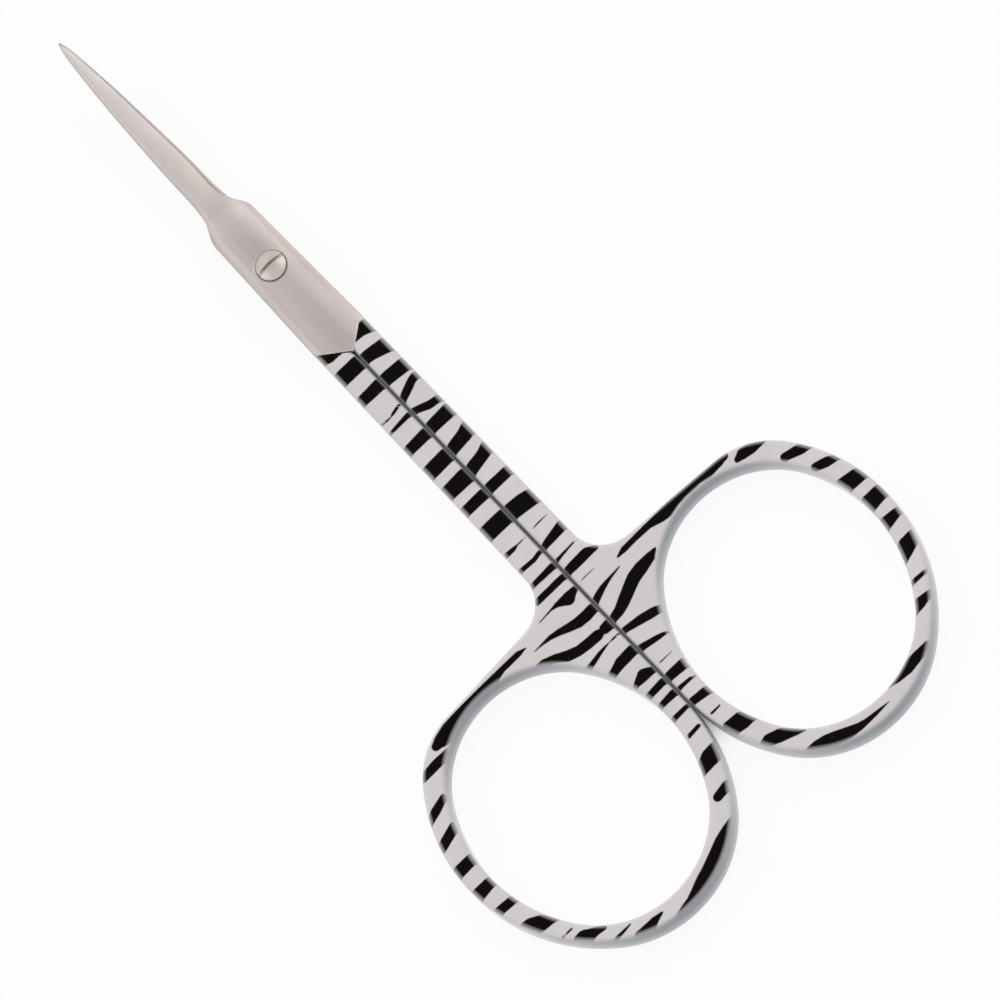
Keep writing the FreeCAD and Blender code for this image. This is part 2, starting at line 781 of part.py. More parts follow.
def check_and_export(pieces):
    """Stop if anything failed, then write one file for each piece."""
    for item in doc.Objects:
        if "Invalid" in item.State or "Error" in item.State:
            raise RuntimeError(f"{item.Name} failed: {item.State}")
    os.makedirs("parts", exist_ok=True)
    for piece in pieces:
        shape = piece.Shape
        if shape.isNull() or not shape.isValid():
            raise RuntimeError(f"{piece.Label} has no valid shape")
        shape.exportStep(f"parts/{piece.Label}.step")
        box = shape.BoundBox
        print(
            f"{piece.Label}: {len(shape.Solids)} solid, {shape.Volume:.2f} mm3, "
            f"x {box.XMin:.2f} to {box.XMax:.2f}, y {box.YMin:.2f} to {box.YMax:.2f}, "
            f"z {box.ZMin:.2f} to {box.ZMax:.2f}"
        )


upper_core = handle_core("UpperCore", "upper_core", UPPER)
lower_core = handle_core("LowerCore", "lower_core", LOWER)
upper_front = lap_and_blade("UpperFront", "upper_front", UPPER)
lower_front = lap_and_blade("LowerFront", "lower_front", LOWER)
upper_half = scissor_half("UpperHalf", "upper_half", upper_core, upper_front)
lower_half = scissor_half("LowerHalf", "lower_half", lower_core, lower_front)
upper_coat = handle_coat("UpperCoat", "upper_handle_coat", UPPER, upper_core)
lower_coat = handle_coat("LowerCoat", "lower_handle_coat", LOWER, lower_core)
screw = pivot_screw("pivot_screw")
doc.recompute()
check_and_export([upper_half, lower_half, upper_coat, lower_coat, screw])
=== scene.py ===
"""Cuticle scissors: two steel halves, a slotted pivot screw and zebra-printed handles.

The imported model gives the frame: the pivot's axis is Z, the tips reach along +X
and the underside lies on z = 0. Sizes in the classes are in millimetres, other
measures say what they are in, and the meshes are in metres.
"""
import logging
import math
from collections.abc import Callable
from dataclasses import dataclass, field, replace
from enum import Enum

import bmesh
import bpy
import numpy as np
from mathutils import Matrix, Vector
from mathutils.geometry import delaunay_2d_cdt


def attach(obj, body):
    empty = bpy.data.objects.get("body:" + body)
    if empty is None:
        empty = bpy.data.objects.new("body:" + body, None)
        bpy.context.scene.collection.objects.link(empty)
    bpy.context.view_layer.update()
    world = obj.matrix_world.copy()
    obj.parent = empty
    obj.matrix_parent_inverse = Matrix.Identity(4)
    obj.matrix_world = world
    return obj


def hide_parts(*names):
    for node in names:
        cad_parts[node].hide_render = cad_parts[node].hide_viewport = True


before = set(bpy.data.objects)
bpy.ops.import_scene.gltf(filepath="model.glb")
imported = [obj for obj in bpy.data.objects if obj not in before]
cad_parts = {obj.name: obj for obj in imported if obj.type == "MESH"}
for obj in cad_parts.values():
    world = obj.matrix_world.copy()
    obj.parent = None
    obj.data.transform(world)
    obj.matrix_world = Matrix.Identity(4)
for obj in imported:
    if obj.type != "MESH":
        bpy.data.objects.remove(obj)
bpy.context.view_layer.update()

LOG = logging.getLogger("cuticle_scissors")
MM = 0.001
WHITE = (1.0, 1.0, 1.0, 1.0)

# Points nearer to each other than this are one, in a mesh and in a plan
TOUCHING = 1e-6
SAME_SPOT = 1e-7

Socket = bpy.types.NodeSocket
Colour = tuple[float, float, float, float]
Triple = tuple[float, float, float]
Point = tuple[float, float]
Stroke = tuple[Triple, ...]
Face = tuple[int, ...]
Stretch = Callable[[float], np.ndarray]


def srgb(red: int, green: int, blue: int) -> Colour:
    """Turn an 8-bit screen colour into a linear one.

    Args:
        red: Red from 0 to 255.
        green: Green from 0 to 255.
        blue: Blue from 0 to 255.

    Returns:
        The linear colour with an alpha of 1.
    """

    def channel(value: int) -> float:
        """Turn one channel into its linear value."""
        share = value / 255
        return share / 12.92 if share <= 0.04045 else ((share + 0.055) / 1.055) ** 2.4

    return (channel(red), channel(green), channel(blue), 1.0)


def in_metres(band: Point) -> Point:
    """Turn a band in millimetres into metres."""
    return (band[0] * MM, band[1] * MM)


class Side(Enum):
    """The side of the seam on which a half's handle lies."""

    UPPER = -1
    LOWER = 1

    @property
    def body(self) -> str:
        """The body and the first word of its nodes' names."""
        return self.name.lower()


# Node trees


class Tree:
    """A short way to add and join nodes in one node tree."""

    def __init__(self, tree: bpy.types.NodeTree) -> None:
        """Keep the tree that the nodes go into."""
        self.tree = tree

    def add(self, kind: str, settings: dict | None = None, **inputs: object) -> bpy.types.Node:
        """Add a node.

        Args:
            kind: The node's type.
            settings: Its properties by name.
            inputs: Its inputs, named in lower case with underscores, each a
                value or a socket to link from. A name in_N stands for input N.

        Returns:
            The new node.
        """
        node = self.tree.nodes.new(kind)
        for name, value in (settings or {}).items():
            setattr(node, name, value)
        for name, value in inputs.items():
            socket = self.socket(node, name)
            if isinstance(value, Socket):
                self.tree.links.new(value, socket)
            else:
                socket.default_value = value
        return node

    @staticmethod
    def socket(node: bpy.types.Node, name: str) -> Socket:
        """Find an input by its number or by its plain name.

        Args:
            node: The node.
            name: in_N for input N, or the input's name in lower case.

        Returns:
            The input.

        Raises:
            KeyError: The node has no input of that name.
        """
        if name.startswith("in_"):
            return node.inputs[int(name[3:])]
        for socket in node.inputs:
            if socket.name.lower().replace(" ", "_") == name and socket.enabled:
                return socket
        raise KeyError(f"{node.bl_idname} has no input {name}")

    def link(self, value: Socket, node: bpy.types.Node, name: str) -> None:
        """Feed a value into one of a node's inputs."""
        self.tree.links.new(value, node.inputs[name])

    def math(self, operation: str, *values: object) -> Socket:
        """Add a Math node and return its result."""
        inputs = {f"in_{number}": value for number, value in enumerate(values)}
        return self.add("ShaderNodeMath", {"operation": operation}, **inputs).outputs[0]

    def vector_math(self, operation: str, **inputs: object) -> list[Socket]:
        """Add a Vector Math node and return its vector and its value."""
        return list(self.add("ShaderNodeVectorMath", {"operation": operation}, **inputs).outputs)

    def remap(self, value: object, band: Point, start: object = 0.0, end: object = 1.0) -> Socket:
        """Map a value from a band to the range from start to end and keep it inside."""
        limits = {"from_min": band[0], "from_max": band[1], "to_min": start, "to_max": end}
        return self.add("ShaderNodeMapRange", value=value, **limits).outputs[0]

    def mix_value(self, factor: object, first: object, second: object) -> Socket:
        """Mix two values by a factor."""
        inputs = {"in_0": factor, "in_2": first, "in_3": second}
        return self.add("ShaderNodeMix", {"data_type": "FLOAT"}, **inputs).outputs[0]

    def mix(self, factor: object, first: object, second: object) -> Socket:
        """Mix two colours by a factor."""
        inputs = {"in_0": factor, "in_6": first, "in_7": second}
        return self.add("ShaderNodeMix", {"data_type": "RGBA"}, **inputs).outputs[2]

    def noise(self, place: Socket, scale: object, **details: float) -> Socket:
        """Add a noise texture and return its value."""
        return self.add("ShaderNodeTexNoise", vector=place, scale=scale, **details).outputs[0]

    def swing(self, noise: Socket, amount: object, value: object) -> Socket:
        """Let a noise swing a value up and down by an amount."""
        return self.math("MULTIPLY_ADD", self.math("SUBTRACT", noise, 0.5), amount, value)

    def bump(self, strength: float, depth: float, height: Socket, **inputs: object) -> Socket:
        """Turn a height into a bumped normal."""
        inputs |= {"strength": strength, "distance": depth, "height": height}
        return self.add("ShaderNodeBump", **inputs).outputs[0]

    def attribute(self, name: str) -> Socket:
        """Read a value that the mesh carries."""
        return self.add("ShaderNodeAttribute", {"attribute_name": name}).outputs["Fac"]

    def axis(self, vector: Socket, name: str) -> Socket:
        """Take one axis of a vector."""
        return self.add("ShaderNodeSeparateXYZ", vector=vector).outputs[name]

    def upright(self, height: object) -> Socket:
        """Make a vector along Z."""
        return self.add("ShaderNodeCombineXYZ", in_2=height).outputs[0]

    def shared(self, group: bpy.types.NodeTree, place: Socket, **inputs: object) -> list[Socket]:
        """Place a shared shader group and return its outputs."""
        node = self.add("ShaderNodeGroup", {"node_tree": group}, vector=place, **inputs)
        return list(node.outputs)


@dataclass(frozen=True)
class Port:
    """One input or output of a node group."""

    name: str
    kind: str = "NodeSocketFloat"
    start: float = 0.0


def new_group(name: str, kind: str, inputs: list[Port], outputs: list[Port]) -> bpy.types.NodeTree:
    """Start a node group with its ports.

    Args:
        name: The group's name.
        kind: ShaderNodeTree or GeometryNodeTree.
        inputs: Its inputs.
        outputs: Its outputs.

    Returns:
        The empty group.
    """
    group = bpy.data.node_groups.new(name, kind)
    for ports, way in ((inputs, "INPUT"), (outputs, "OUTPUT")):
        for port in ports:
            socket = group.interface.new_socket(port.name, in_out=way, socket_type=port.kind)
            if port.kind == "NodeSocketFloat":
                socket.default_value = port.start
    return group


# The finishes


@dataclass
class SurfaceEffects:
    """Shader groups that several finishes share, each built once.

    Attributes:
        cloud_band: The noise values between which the clouding rises.
        speck_band: The noise values between which a speck rises.
        wear_reach: How far from an edge wear is looked for.
        wear_band: How alike the rounded and the plain normal are, from no wear
            to full wear.
        patch_band: The noise values between which wear grows to its full share.
        least_wear: The share of wear that every edge keeps.
        samples: How many rays find an edge.
        grain: The grinding and polishing marks.
        handling: The clouding and the specks of handling.
        edges: The wear of the edges, and their rounded normal.
    """

    cloud_band: Point = (0.3, 0.7)
    speck_band: Point = (0.66, 0.74)
    wear_reach: float = 0.07
    wear_band: Point = (0.995, 0.93)
    patch_band: Point = (0.35, 0.6)
    least_wear: float = 0.35
    samples: int = 6
    grain: bpy.types.NodeTree = field(init=False)
    handling: bpy.types.NodeTree = field(init=False)
    edges: bpy.types.NodeTree = field(init=False)

    def __post_init__(self) -> None:
        """Build the groups."""
        self.grain = self.build_grain()
        self.handling = self.build_handling()
        self.edges = self.build_edges()

    @staticmethod
    def build_grain() -> bpy.types.NodeTree:
        """Make long fine lines: grinding and polishing marks.

        Returns:
            The group.
        """
        inputs = [
            Port("Vector", "NodeSocketVector"),
            Port("Stretch", "NodeSocketVector"),
            Port("Contrast", start=1.0),
        ]
        group = new_group("FineGrain", "ShaderNodeTree", inputs, [Port("Mask")])
        tree = Tree(group)
        place, stretch, contrast = tree.add("NodeGroupInput").outputs[:3]
        drawn_out = tree.vector_math("MULTIPLY", in_0=place, in_1=stretch)[0]
        lines = tree.noise(drawn_out, 1.0, detail=5.0, roughness=0.62)
        tree.add("NodeGroupOutput", in_0=tree.swing(lines, contrast, 0.5))
        return group

    def build_handling(self) -> bpy.types.NodeTree:
        """Make the broad clouding that fingers and wiping leave.

        Returns:
            The group.
        """
        inputs = [
            Port("Vector", "NodeSocketVector"),
            Port("Cloud Scale", start=200.0),
            Port("Speck Scale", start=2500.0),
        ]
        outputs = [Port("Clouds"), Port("Specks")]
        group = new_group("HandlingMarks", "ShaderNodeTree", inputs, outputs)
        tree = Tree(group)
        place, cloud_scale, speck_scale = tree.add("NodeGroupInput").outputs[:3]
        clouds = tree.noise(place, cloud_scale, detail=3.0, roughness=0.55, distortion=0.6)
        specks = tree.noise(place, speck_scale, detail=2.0, roughness=0.5)
        soft, sparse = tree.remap(clouds, self.cloud_band), tree.remap(specks, self.speck_band)
        tree.add("NodeGroupOutput", in_0=soft, in_1=sparse)
        return group

    def build_edges(self) -> bpy.types.NodeTree:
        """Find worn edges, and give the normal that rounds them off.

        Returns:
            The group.
        """
        inputs = [
            Port("Vector", "NodeSocketVector"),
            Port("Breakup Scale", start=1500.0),
            Port("Softness", start=self.wear_reach * MM),
        ]
        outputs = [Port("Wear"), Port("Normal", "NodeSocketVector")]
        group = new_group("EdgeWear", "ShaderNodeTree", inputs, outputs)
        tree = Tree(group)
        place, breakup_scale, softness = tree.add("NodeGroupInput").outputs[:3]
        close = tree.add("ShaderNodeBevel", {"samples": self.samples}, radius=self.wear_reach * MM)
        flat = tree.add("ShaderNodeNewGeometry").outputs["Normal"]
        likeness = tree.vector_math("DOT_PRODUCT", in_0=close.outputs[0], in_1=flat)[1]
        breakup = tree.noise(place, breakup_scale, detail=3.0)
        patchy = tree.remap(breakup, self.patch_band, self.least_wear)
        worn = tree.math("MULTIPLY", tree.remap(likeness, self.wear_band), patchy)
        soft = tree.add("ShaderNodeBevel", {"samples": self.samples}, radius=softness)
        tree.add("NodeGroupOutput", in_0=worn, in_1=soft.outputs[0])
        return group


def emptied(owner: bpy.types.ID) -> Tree:
    """Switch a material or a world to nodes and empty its tree.

    Args:
        owner: The material or the world.

    Returns:
        The empty tree.
    """
    owner.use_nodes = True
    owner.node_tree.nodes.clear()
    return Tree(owner.node_tree)


def new_material(name: str) -> tuple[bpy.types.Material, Tree, bpy.types.Node]:
    """Start a material.

    Args:
        name: The material's name.

    Returns:
        The material, its tree and its Principled BSDF.
    """
    material = bpy.data.materials.new(name)
    tree = emptied(material)
    shader = tree.add("ShaderNodeBsdfPrincipled")
    tree.add("ShaderNodeOutputMaterial", in_0=shader.outputs[0])
    return material, tree, shader


@dataclass(frozen=True)
class PaintedSteelShading:
    """Painted light and shade on the plate and the blade, as tones of the steel.

    A tone is a share of the steel's own colour. Where two are given for the
    sides, the right one (at -Y) comes first.

    Attributes:
        middle: The tone along the middle of the plate.
        sides: The tones at the edges of the plate's flat.
        bevels: The tones of the plate's bevels.
        across: How far from the middle the tone begins and ends to rise.
        flat_end: How far from the middle the flat passes into the bevels.
        plate_end: How far ahead of the pivot the plate's tones fade out.
        blade_start: How far ahead of the pivot the blade's tones fade in.
        tilt: Sideways shares of the normal where a face's painted shade begins and is darkest.
        left_face: The blade's tone on top and on the face that looks left.
        right_face: The blade's tone on top and on the face that looks right.
        front: Where ahead of the pivot the steel's painted light begins and ends to rise.
        front_tone: How much lighter it is from there on.
    """

    middle: float = 0.88
    sides: Point = (1.22, 1.05)
    bevels: Point = (1.02, 0.86)
    across: Point = (0.5, 1.85)
    flat_end: Point = (1.8, 2.15)
    plate_end: Point = (7.2, 9.6)
    blade_start: Point = (7.5, 9.5)
    tilt: Point = (0.12, 0.45)
    left_face: Point = (1.06, 0.84)
    right_face: Point = (1.0, 0.76)
    front: Point = (-2.0, 3.0)
    front_tone: float = 1.08

    def apply(self, tree: Tree, place: Socket, colour: Socket) -> Socket:
        """Paint light and shade into the steel's colour.

        Args:
            tree: The material's tree.
            place: The object's coordinates.
            colour: The steel's colour.

        Returns:
            The toned colour.
        """
        along, across, _ = tree.add("ShaderNodeSeparateXYZ", vector=place).outputs
        off_middle = tree.math("ABSOLUTE", across)
        left = tree.math("GREATER_THAN", across, 0.0)
        side = tree.mix_value(left, *self.sides)
        flat = tree.remap(off_middle, in_metres(self.across), self.middle, side)
        on_flat = tree.remap(off_middle, in_metres(self.flat_end), 1.0, 0.0)
        plate = tree.mix_value(on_flat, tree.mix_value(left, *self.bevels), flat)
        on_plate = tree.remap(along, in_metres(self.plate_end), 1.0, 0.0)
        # Painted shade: blade faces that look left or right are darkened by their normal
        facing = tree.axis(tree.add("ShaderNodeTexCoord").outputs["Normal"], "Y")
        left_tone = tree.remap(facing, self.tilt, *self.left_face)
        right_tone = tree.remap(facing, (-self.tilt[0], -self.tilt[1]), *self.right_face)
        blade = tree.math("MULTIPLY", left_tone, right_tone)
        on_blade = tree.remap(along, in_metres(self.blade_start))
        plate_tone = tree.mix_value(on_plate, 1.0, plate)
        tone = tree.math("MULTIPLY", plate_tone, tree.mix_value(on_blade, 1.0, blade))
        # Painted light: the steel lightens towards the tips
        front = tree.remap(along, in_metres(self.front), 1.0, self.front_tone)
        tone = tree.math("MULTIPLY", tone, front)
        return tree.vector_math("SCALE", in_0=colour, in_3=tone)[0]


@dataclass(frozen=True)
class SteelFinish:
    """Ground and polished stainless steel.

    Attributes:
        name: The material's name.
        base: The steel's colour.
        bright: The colour of worn edges.
        roughness: The roughness between the marks.
        stretch: How close the grain lies along each axis, per metre.
        relief: The strength of the grain's bump.
        softness: The radius that the shading gives to edges.
        crevice: How strongly narrow places are darkened as painted shade.
        tones: The painted light and shade on the halves.
        dark_share: The colour in the grain's lines, as a share of the base.
        contrast: The contrast of the grain.
        clouding: How strongly handling marks darken the steel.
        wear: How strongly worn edges take the bright colour.
        grain_depth: The height of the grain.
        crevice_reach: How far from a point a crevice's other wall is looked for.
        crevice_band: How open a place is, from plain to fully darkened.
        crevice_shade_colour: The colour of the painted shade in a crevice.
        cloud_scale: How close the clouds lie, per metre.
        speck_scale: How close the specks lie, per metre.
        breakup_scale: How close the patches of wear lie, per metre.
        rough_lines: How much the grain varies the roughness.
        rough_clouds: How much the clouds add to it.
        smooth_wear: How much wear takes from it.
    """

    name: str
    base: Colour
    bright: Colour
    roughness: float
    stretch: Triple
    relief: float
    softness: float
    crevice: float = 0.0
    tones: PaintedSteelShading | None = None
    dark_share: float = 0.86
    contrast: float = 1.6
    clouding: float = 0.22
    wear: float = 0.7
    grain_depth: float = 0.004
    crevice_reach: float = 0.4
    crevice_band: Point = (0.80, 0.40)
    crevice_shade_colour: Colour = srgb(40, 36, 34)
    cloud_scale: float = 160.0
    speck_scale: float = 2200.0
    breakup_scale: float = 900.0
    rough_lines: float = 0.10
    rough_clouds: float = 0.08
    smooth_wear: float = 0.10

    def build(self, effects: SurfaceEffects) -> bpy.types.Material:
        """Build the material.

        Args:
            effects: The shared shader groups.

        Returns:
            The material.
        """
        material, tree, shader = new_material(self.name)
        place = tree.add("ShaderNodeTexCoord").outputs["Object"]
        grain = tree.shared(effects.grain, place, stretch=self.stretch, contrast=self.contrast)[0]
        marks = {"cloud_scale": self.cloud_scale, "speck_scale": self.speck_scale}
        clouds, specks = tree.shared(effects.handling, place, **marks)
        edges = {"breakup_scale": self.breakup_scale, "softness": self.softness * MM}
        worn, rounded = tree.shared(effects.edges, place, **edges)
        dark = tuple(channel * self.dark_share for channel in self.base[:3]) + (1.0,)
        colour = tree.mix(grain, dark, self.base)
        # Painted light and shade on the halves, by place and facing
        if self.tones:
            colour = self.tones.apply(tree, place, colour)
        colour = tree.mix(tree.math("MULTIPLY", clouds, self.clouding), colour, dark)
        colour = tree.mix(tree.math("MULTIPLY", worn, self.wear), colour, self.bright)
        if self.crevice:
            # Painted shade: ambient occlusion darkens narrow places on the screw, such as its slot
            reach = self.crevice_reach * MM
            shelter = tree.add("ShaderNodeAmbientOcclusion", {"samples": 8}, distance=reach)
            crevice_shade = tree.remap(shelter.outputs["AO"], self.crevice_band, 0.0, self.crevice)
            colour = tree.mix(crevice_shade, colour, self.crevice_shade_colour)
        tree.link(colour, shader, "Base Color")
        smoothest = self.roughness - self.rough_lines / 2
        rough = tree.math("MULTIPLY_ADD", grain, self.rough_lines, smoothest)
        rough = tree.math("MULTIPLY_ADD", clouds, self.rough_clouds, rough)
        rough = tree.math("MULTIPLY_ADD", worn, -self.smooth_wear, rough)
        tree.link(rough, shader, "Roughness")
        height = tree.math("MULTIPLY_ADD", specks, 0.5, grain)
        depth = self.grain_depth * MM
        tree.link(tree.bump(self.relief, depth, height, normal=rounded), shader, "Normal")
        shader.inputs["Metallic"].default_value = 1.0
        return material


@dataclass(frozen=True)
class LacquerFinish:
    """Printed lacquer whose print stops at the rounded edges.

    Attributes:
        name: The material's name.
        ground: The print's white.
        ground_shade: Its white where it was handled.
        ink: The print's black.
        bare: The lacquer's white past the print's end.
        bare_shade: Painted shade on the bare white, on the upper part of walls that face the bows'
            end.
        seam: Painted shade along the seam, a grey for the shade in its narrow valley.
        roughness: The roughness between the marks.
        blur: Half the width over which a stripe's edge passes into the ground.
        wobble: How far a stripe's edge strays.
        sheen_edge_ink: The share of ink kept on the very edge, whose grey is a painted highlight.
        edge_fade: How far inside the edge the painted highlight begins and ends to fade out.
        end_wobble: How raggedly the print ends.
        dust: The share of specks that show on the ink.
        wall_heights: The heights between which the painted shade on a wall grows.
        peel: The strength of the print's and the orange peel's bump.
        peel_depth: Their height.
        cloud_scale: How close the clouds lie, per metre.
        speck_scale: How close the specks lie, per metre.
        uneven_scale: How close the unevenness of the print's edges lies, per metre.
        peel_scale: How close the orange peel lies, per metre.
        rough_clouds: How much the clouds vary the roughness.
        smooth_print: How much the print takes from it.
        specular: The lacquer's specular level.
        coat: The weight of its clear coat.
        coat_roughness: The roughness of the clear coat.
        refraction: The lacquer's index of refraction.
    """

    name: str = "zebra_lacquer"
    ground: Colour = srgb(226, 219, 220)
    ground_shade: Colour = srgb(217, 212, 212)
    ink: Colour = srgb(8, 4, 3)
    bare: Colour = srgb(234, 234, 235)
    bare_shade: Colour = srgb(172, 176, 183)
    seam: Colour = srgb(146, 146, 148)
    roughness: float = 0.24
    blur: float = 0.045
    wobble: float = 0.05
    sheen_edge_ink: float = 0.30
    edge_fade: Point = (0.08, 0.46)
    end_wobble: float = 0.3
    dust: float = 0.015
    wall_heights: Point = (0.2, 1.6)
    peel: float = 0.35
    peel_depth: float = 0.012
    cloud_scale: float = 140.0
    speck_scale: float = 3000.0
    uneven_scale: float = 1900.0
    peel_scale: float = 1400.0
    rough_clouds: float = 0.10
    smooth_print: float = 0.04
    specular: float = 0.05
    coat: float = 0.02
    coat_roughness: float = 0.12
    refraction: float = 1.5

    def build(self, effects: SurfaceEffects) -> bpy.types.Material:
        """Build the material.

        Args:
            effects: The shared shader groups.

        Returns:
            The material.
        """
        material, tree, shader = new_material(self.name)
        place = tree.add("ShaderNodeTexCoord").outputs["Object"]
        marks = {"cloud_scale": self.cloud_scale, "speck_scale": self.speck_scale}
        clouds, specks = tree.shared(effects.handling, place, **marks)
        uneven = tree.noise(place, self.uneven_scale, detail=2.0, roughness=0.5)
        stripe = tree.swing(uneven, self.wobble, tree.attribute("stripe"))
        ink = tree.remap(stripe, (-self.blur, self.blur), 1.0, 0.0)
        cover = tree.swing(uneven, self.end_wobble, tree.attribute("cover"))
        printed = tree.remap(cover, (-1.0, 1.0))
        seam = tree.attribute("seam")
        # Painted highlight: the ink thins towards the rounded edge, a grey sheen on the black
        ink_left_by_sheen = tree.remap(tree.attribute("rim"), in_metres(self.edge_fade), self.sheen_edge_ink)
        inked = tree.math("MULTIPLY", ink, tree.math("MAXIMUM", ink_left_by_sheen, seam))
        zebra = tree.mix(inked, tree.mix(clouds, self.ground, self.ground_shade), self.ink)
        dusty = tree.mix(tree.math("MULTIPLY", specks, self.dust), zebra, self.ground_shade)
        # Painted shade: walls that face the bows darken towards their top
        high = tree.remap(tree.axis(place, "Z"), in_metres(self.wall_heights))
        shade = tree.math("MULTIPLY", high, tree.attribute("away"))
        # Painted shade: the seam's grey stands in for the shade in its narrow valley
        bare = tree.mix(seam, tree.mix(shade, self.bare, self.bare_shade), self.seam)
        tree.link(tree.mix(printed, bare, dusty), shader, "Base Color")
        smoothest = self.roughness - self.smooth_print
        rough = tree.math("MULTIPLY_ADD", clouds, self.rough_clouds, smoothest)
        rough = tree.math("MULTIPLY_ADD", printed, -self.smooth_print, rough)
        tree.link(rough, shader, "Roughness")
        skin = tree.noise(place, self.peel_scale, detail=2.0, roughness=0.4)
        raised = tree.math("MULTIPLY_ADD", ink, 0.5, tree.math("MULTIPLY", skin, 0.5))
        tree.link(tree.bump(self.peel, self.peel_depth * MM, raised), shader, "Normal")
        shader.inputs["Specular IOR Level"].default_value = self.specular
        shader.inputs["Coat Weight"].default_value = self.coat
        shader.inputs["Coat Roughness"].default_value = self.coat_roughness
        shader.inputs["IOR"].default_value = self.refraction
        return material


# The handle's plan


def heading(turn: float) -> np.ndarray:
    """Give the direction at a turn from +X, in radians."""
    return np.array((math.cos(turn), math.sin(turn)))


def crossing(
    first: np.ndarray, first_normal: np.ndarray, second: np.ndarray, second_normal: np.ndarray
) -> np.ndarray:
    """Find where two lines cross, each given by a point and its normal."""
    reaches = np.array((first @ first_normal, second @ second_normal))
    return np.linalg.solve(np.array((first_normal, second_normal)), reaches)


@dataclass(frozen=True)
class Oval:
    """An oval of four arcs that meet smoothly, as the finger bows are drawn.

    Attributes:
        half_length: Half its length.
        half_width: Half its width.
        end_drop: How much smaller than half its width the end arcs' radius is.
        lean: The turn of its long axis from +X, in radians.
        growth: How far outside those sizes its line runs.
        centre: Its centre.
    """

    half_length: float
    half_width: float
    end_drop: float
    lean: float
    growth: float = 0.0
    centre: Point = (0.0, 0.0)

    @property
    def end_offset(self) -> float:
        """How far the end arcs' centres lie from the oval's."""
        return self.half_length - self.half_width + self.end_drop

    @property
    def side_offset(self) -> float:
        """How far the side arcs' centres lie from the oval's.

        Returns:
            The distance along the short axis.
        """
        end_radius = self.half_width - self.end_drop
        squares = self.end_offset**2 + self.half_width**2 - end_radius**2
        return squares / (2 * self.end_drop) - self.half_width

    @property
    def joint_turn(self) -> float:
        """The turn at which an end arc passes into a side arc."""
        return math.atan2(self.side_offset, self.end_offset)

    def point(self, turn: float) -> np.ndarray:
        """Give the point that faces a turn from the long axis.

        Args:
            turn: The turn in radians.

        Returns:
            The point.
        """
        if abs(math.cos(turn)) >= math.cos(self.joint_turn):
            centre = heading(self.lean) * math.copysign(self.end_offset, math.cos(turn))
            radius = self.half_width - self.end_drop
        else:
            sideways = heading(self.lean + math.pi / 2)
            centre = -sideways * math.copysign(self.side_offset, math.sin(turn))
            radius = self.half_width + self.side_offset
        return np.array(self.centre) + centre + heading(self.lean + turn) * (radius + self.growth)

    def moved(self, centre: np.ndarray) -> "Oval":
        """Give the same oval about another centre."""
        return replace(self, centre=tuple(centre))


@dataclass(frozen=True)
class HandleSizes:
    """The handle's named sizes, in millimetres and degrees, and its mesh's steps."""

    thickness: float = 2.5
    edge_radius: float = 0.50
    skin: float = 0.12
    seam_gap: float = 0.10
    shoulder_outer_back: float = 9.35
    shoulder_rake: float = 2.15
    front_half_width: float = 2.75
    rear_half_width: float = 2.95
    crotch_radius: float = 3.7
    bow_shoulder_back: float = 42.0
    bow_shoulder_lean: float = 3.7
    bow_shoulder_wall: float = 1.23
    bow_corner_turn: float = 41.0
    hole_half_length: float = 13.05
    hole_half_width: float = 10.43
    hole_end_drop: float = 1.00
    hole_lean: float = 3.0
    end_wall: float = 2.15
    side_wall: float = 2.10
    bow_end_drop: float = 1.68
    bow_lean: float = 8.0
    spacing: float = 0.25
    edge_steps: int = 8
    least_steps: int = 4
    measuring_steps: int = 64

    def bow(self, inset: float) -> Oval:
        """Give the bow's outline about the origin.

        Args:
            inset: How far inside the true edge it runs.

        Returns:
            The outline.
        """
        half_length = self.hole_half_length + self.end_wall
        half_width = self.hole_half_width + self.side_wall
        return Oval(half_length, half_width, self.bow_end_drop, math.radians(self.bow_lean), -inset)

    def hole(self, inset: float) -> Oval:
        """Give the hole's outline about the origin.

        Args:
            inset: How far outside the true edge of the hole it runs.

        Returns:
            The outline.
        """
        lean = math.radians(self.hole_lean)
        return Oval(self.hole_half_length, self.hole_half_width, self.hole_end_drop, lean, inset)


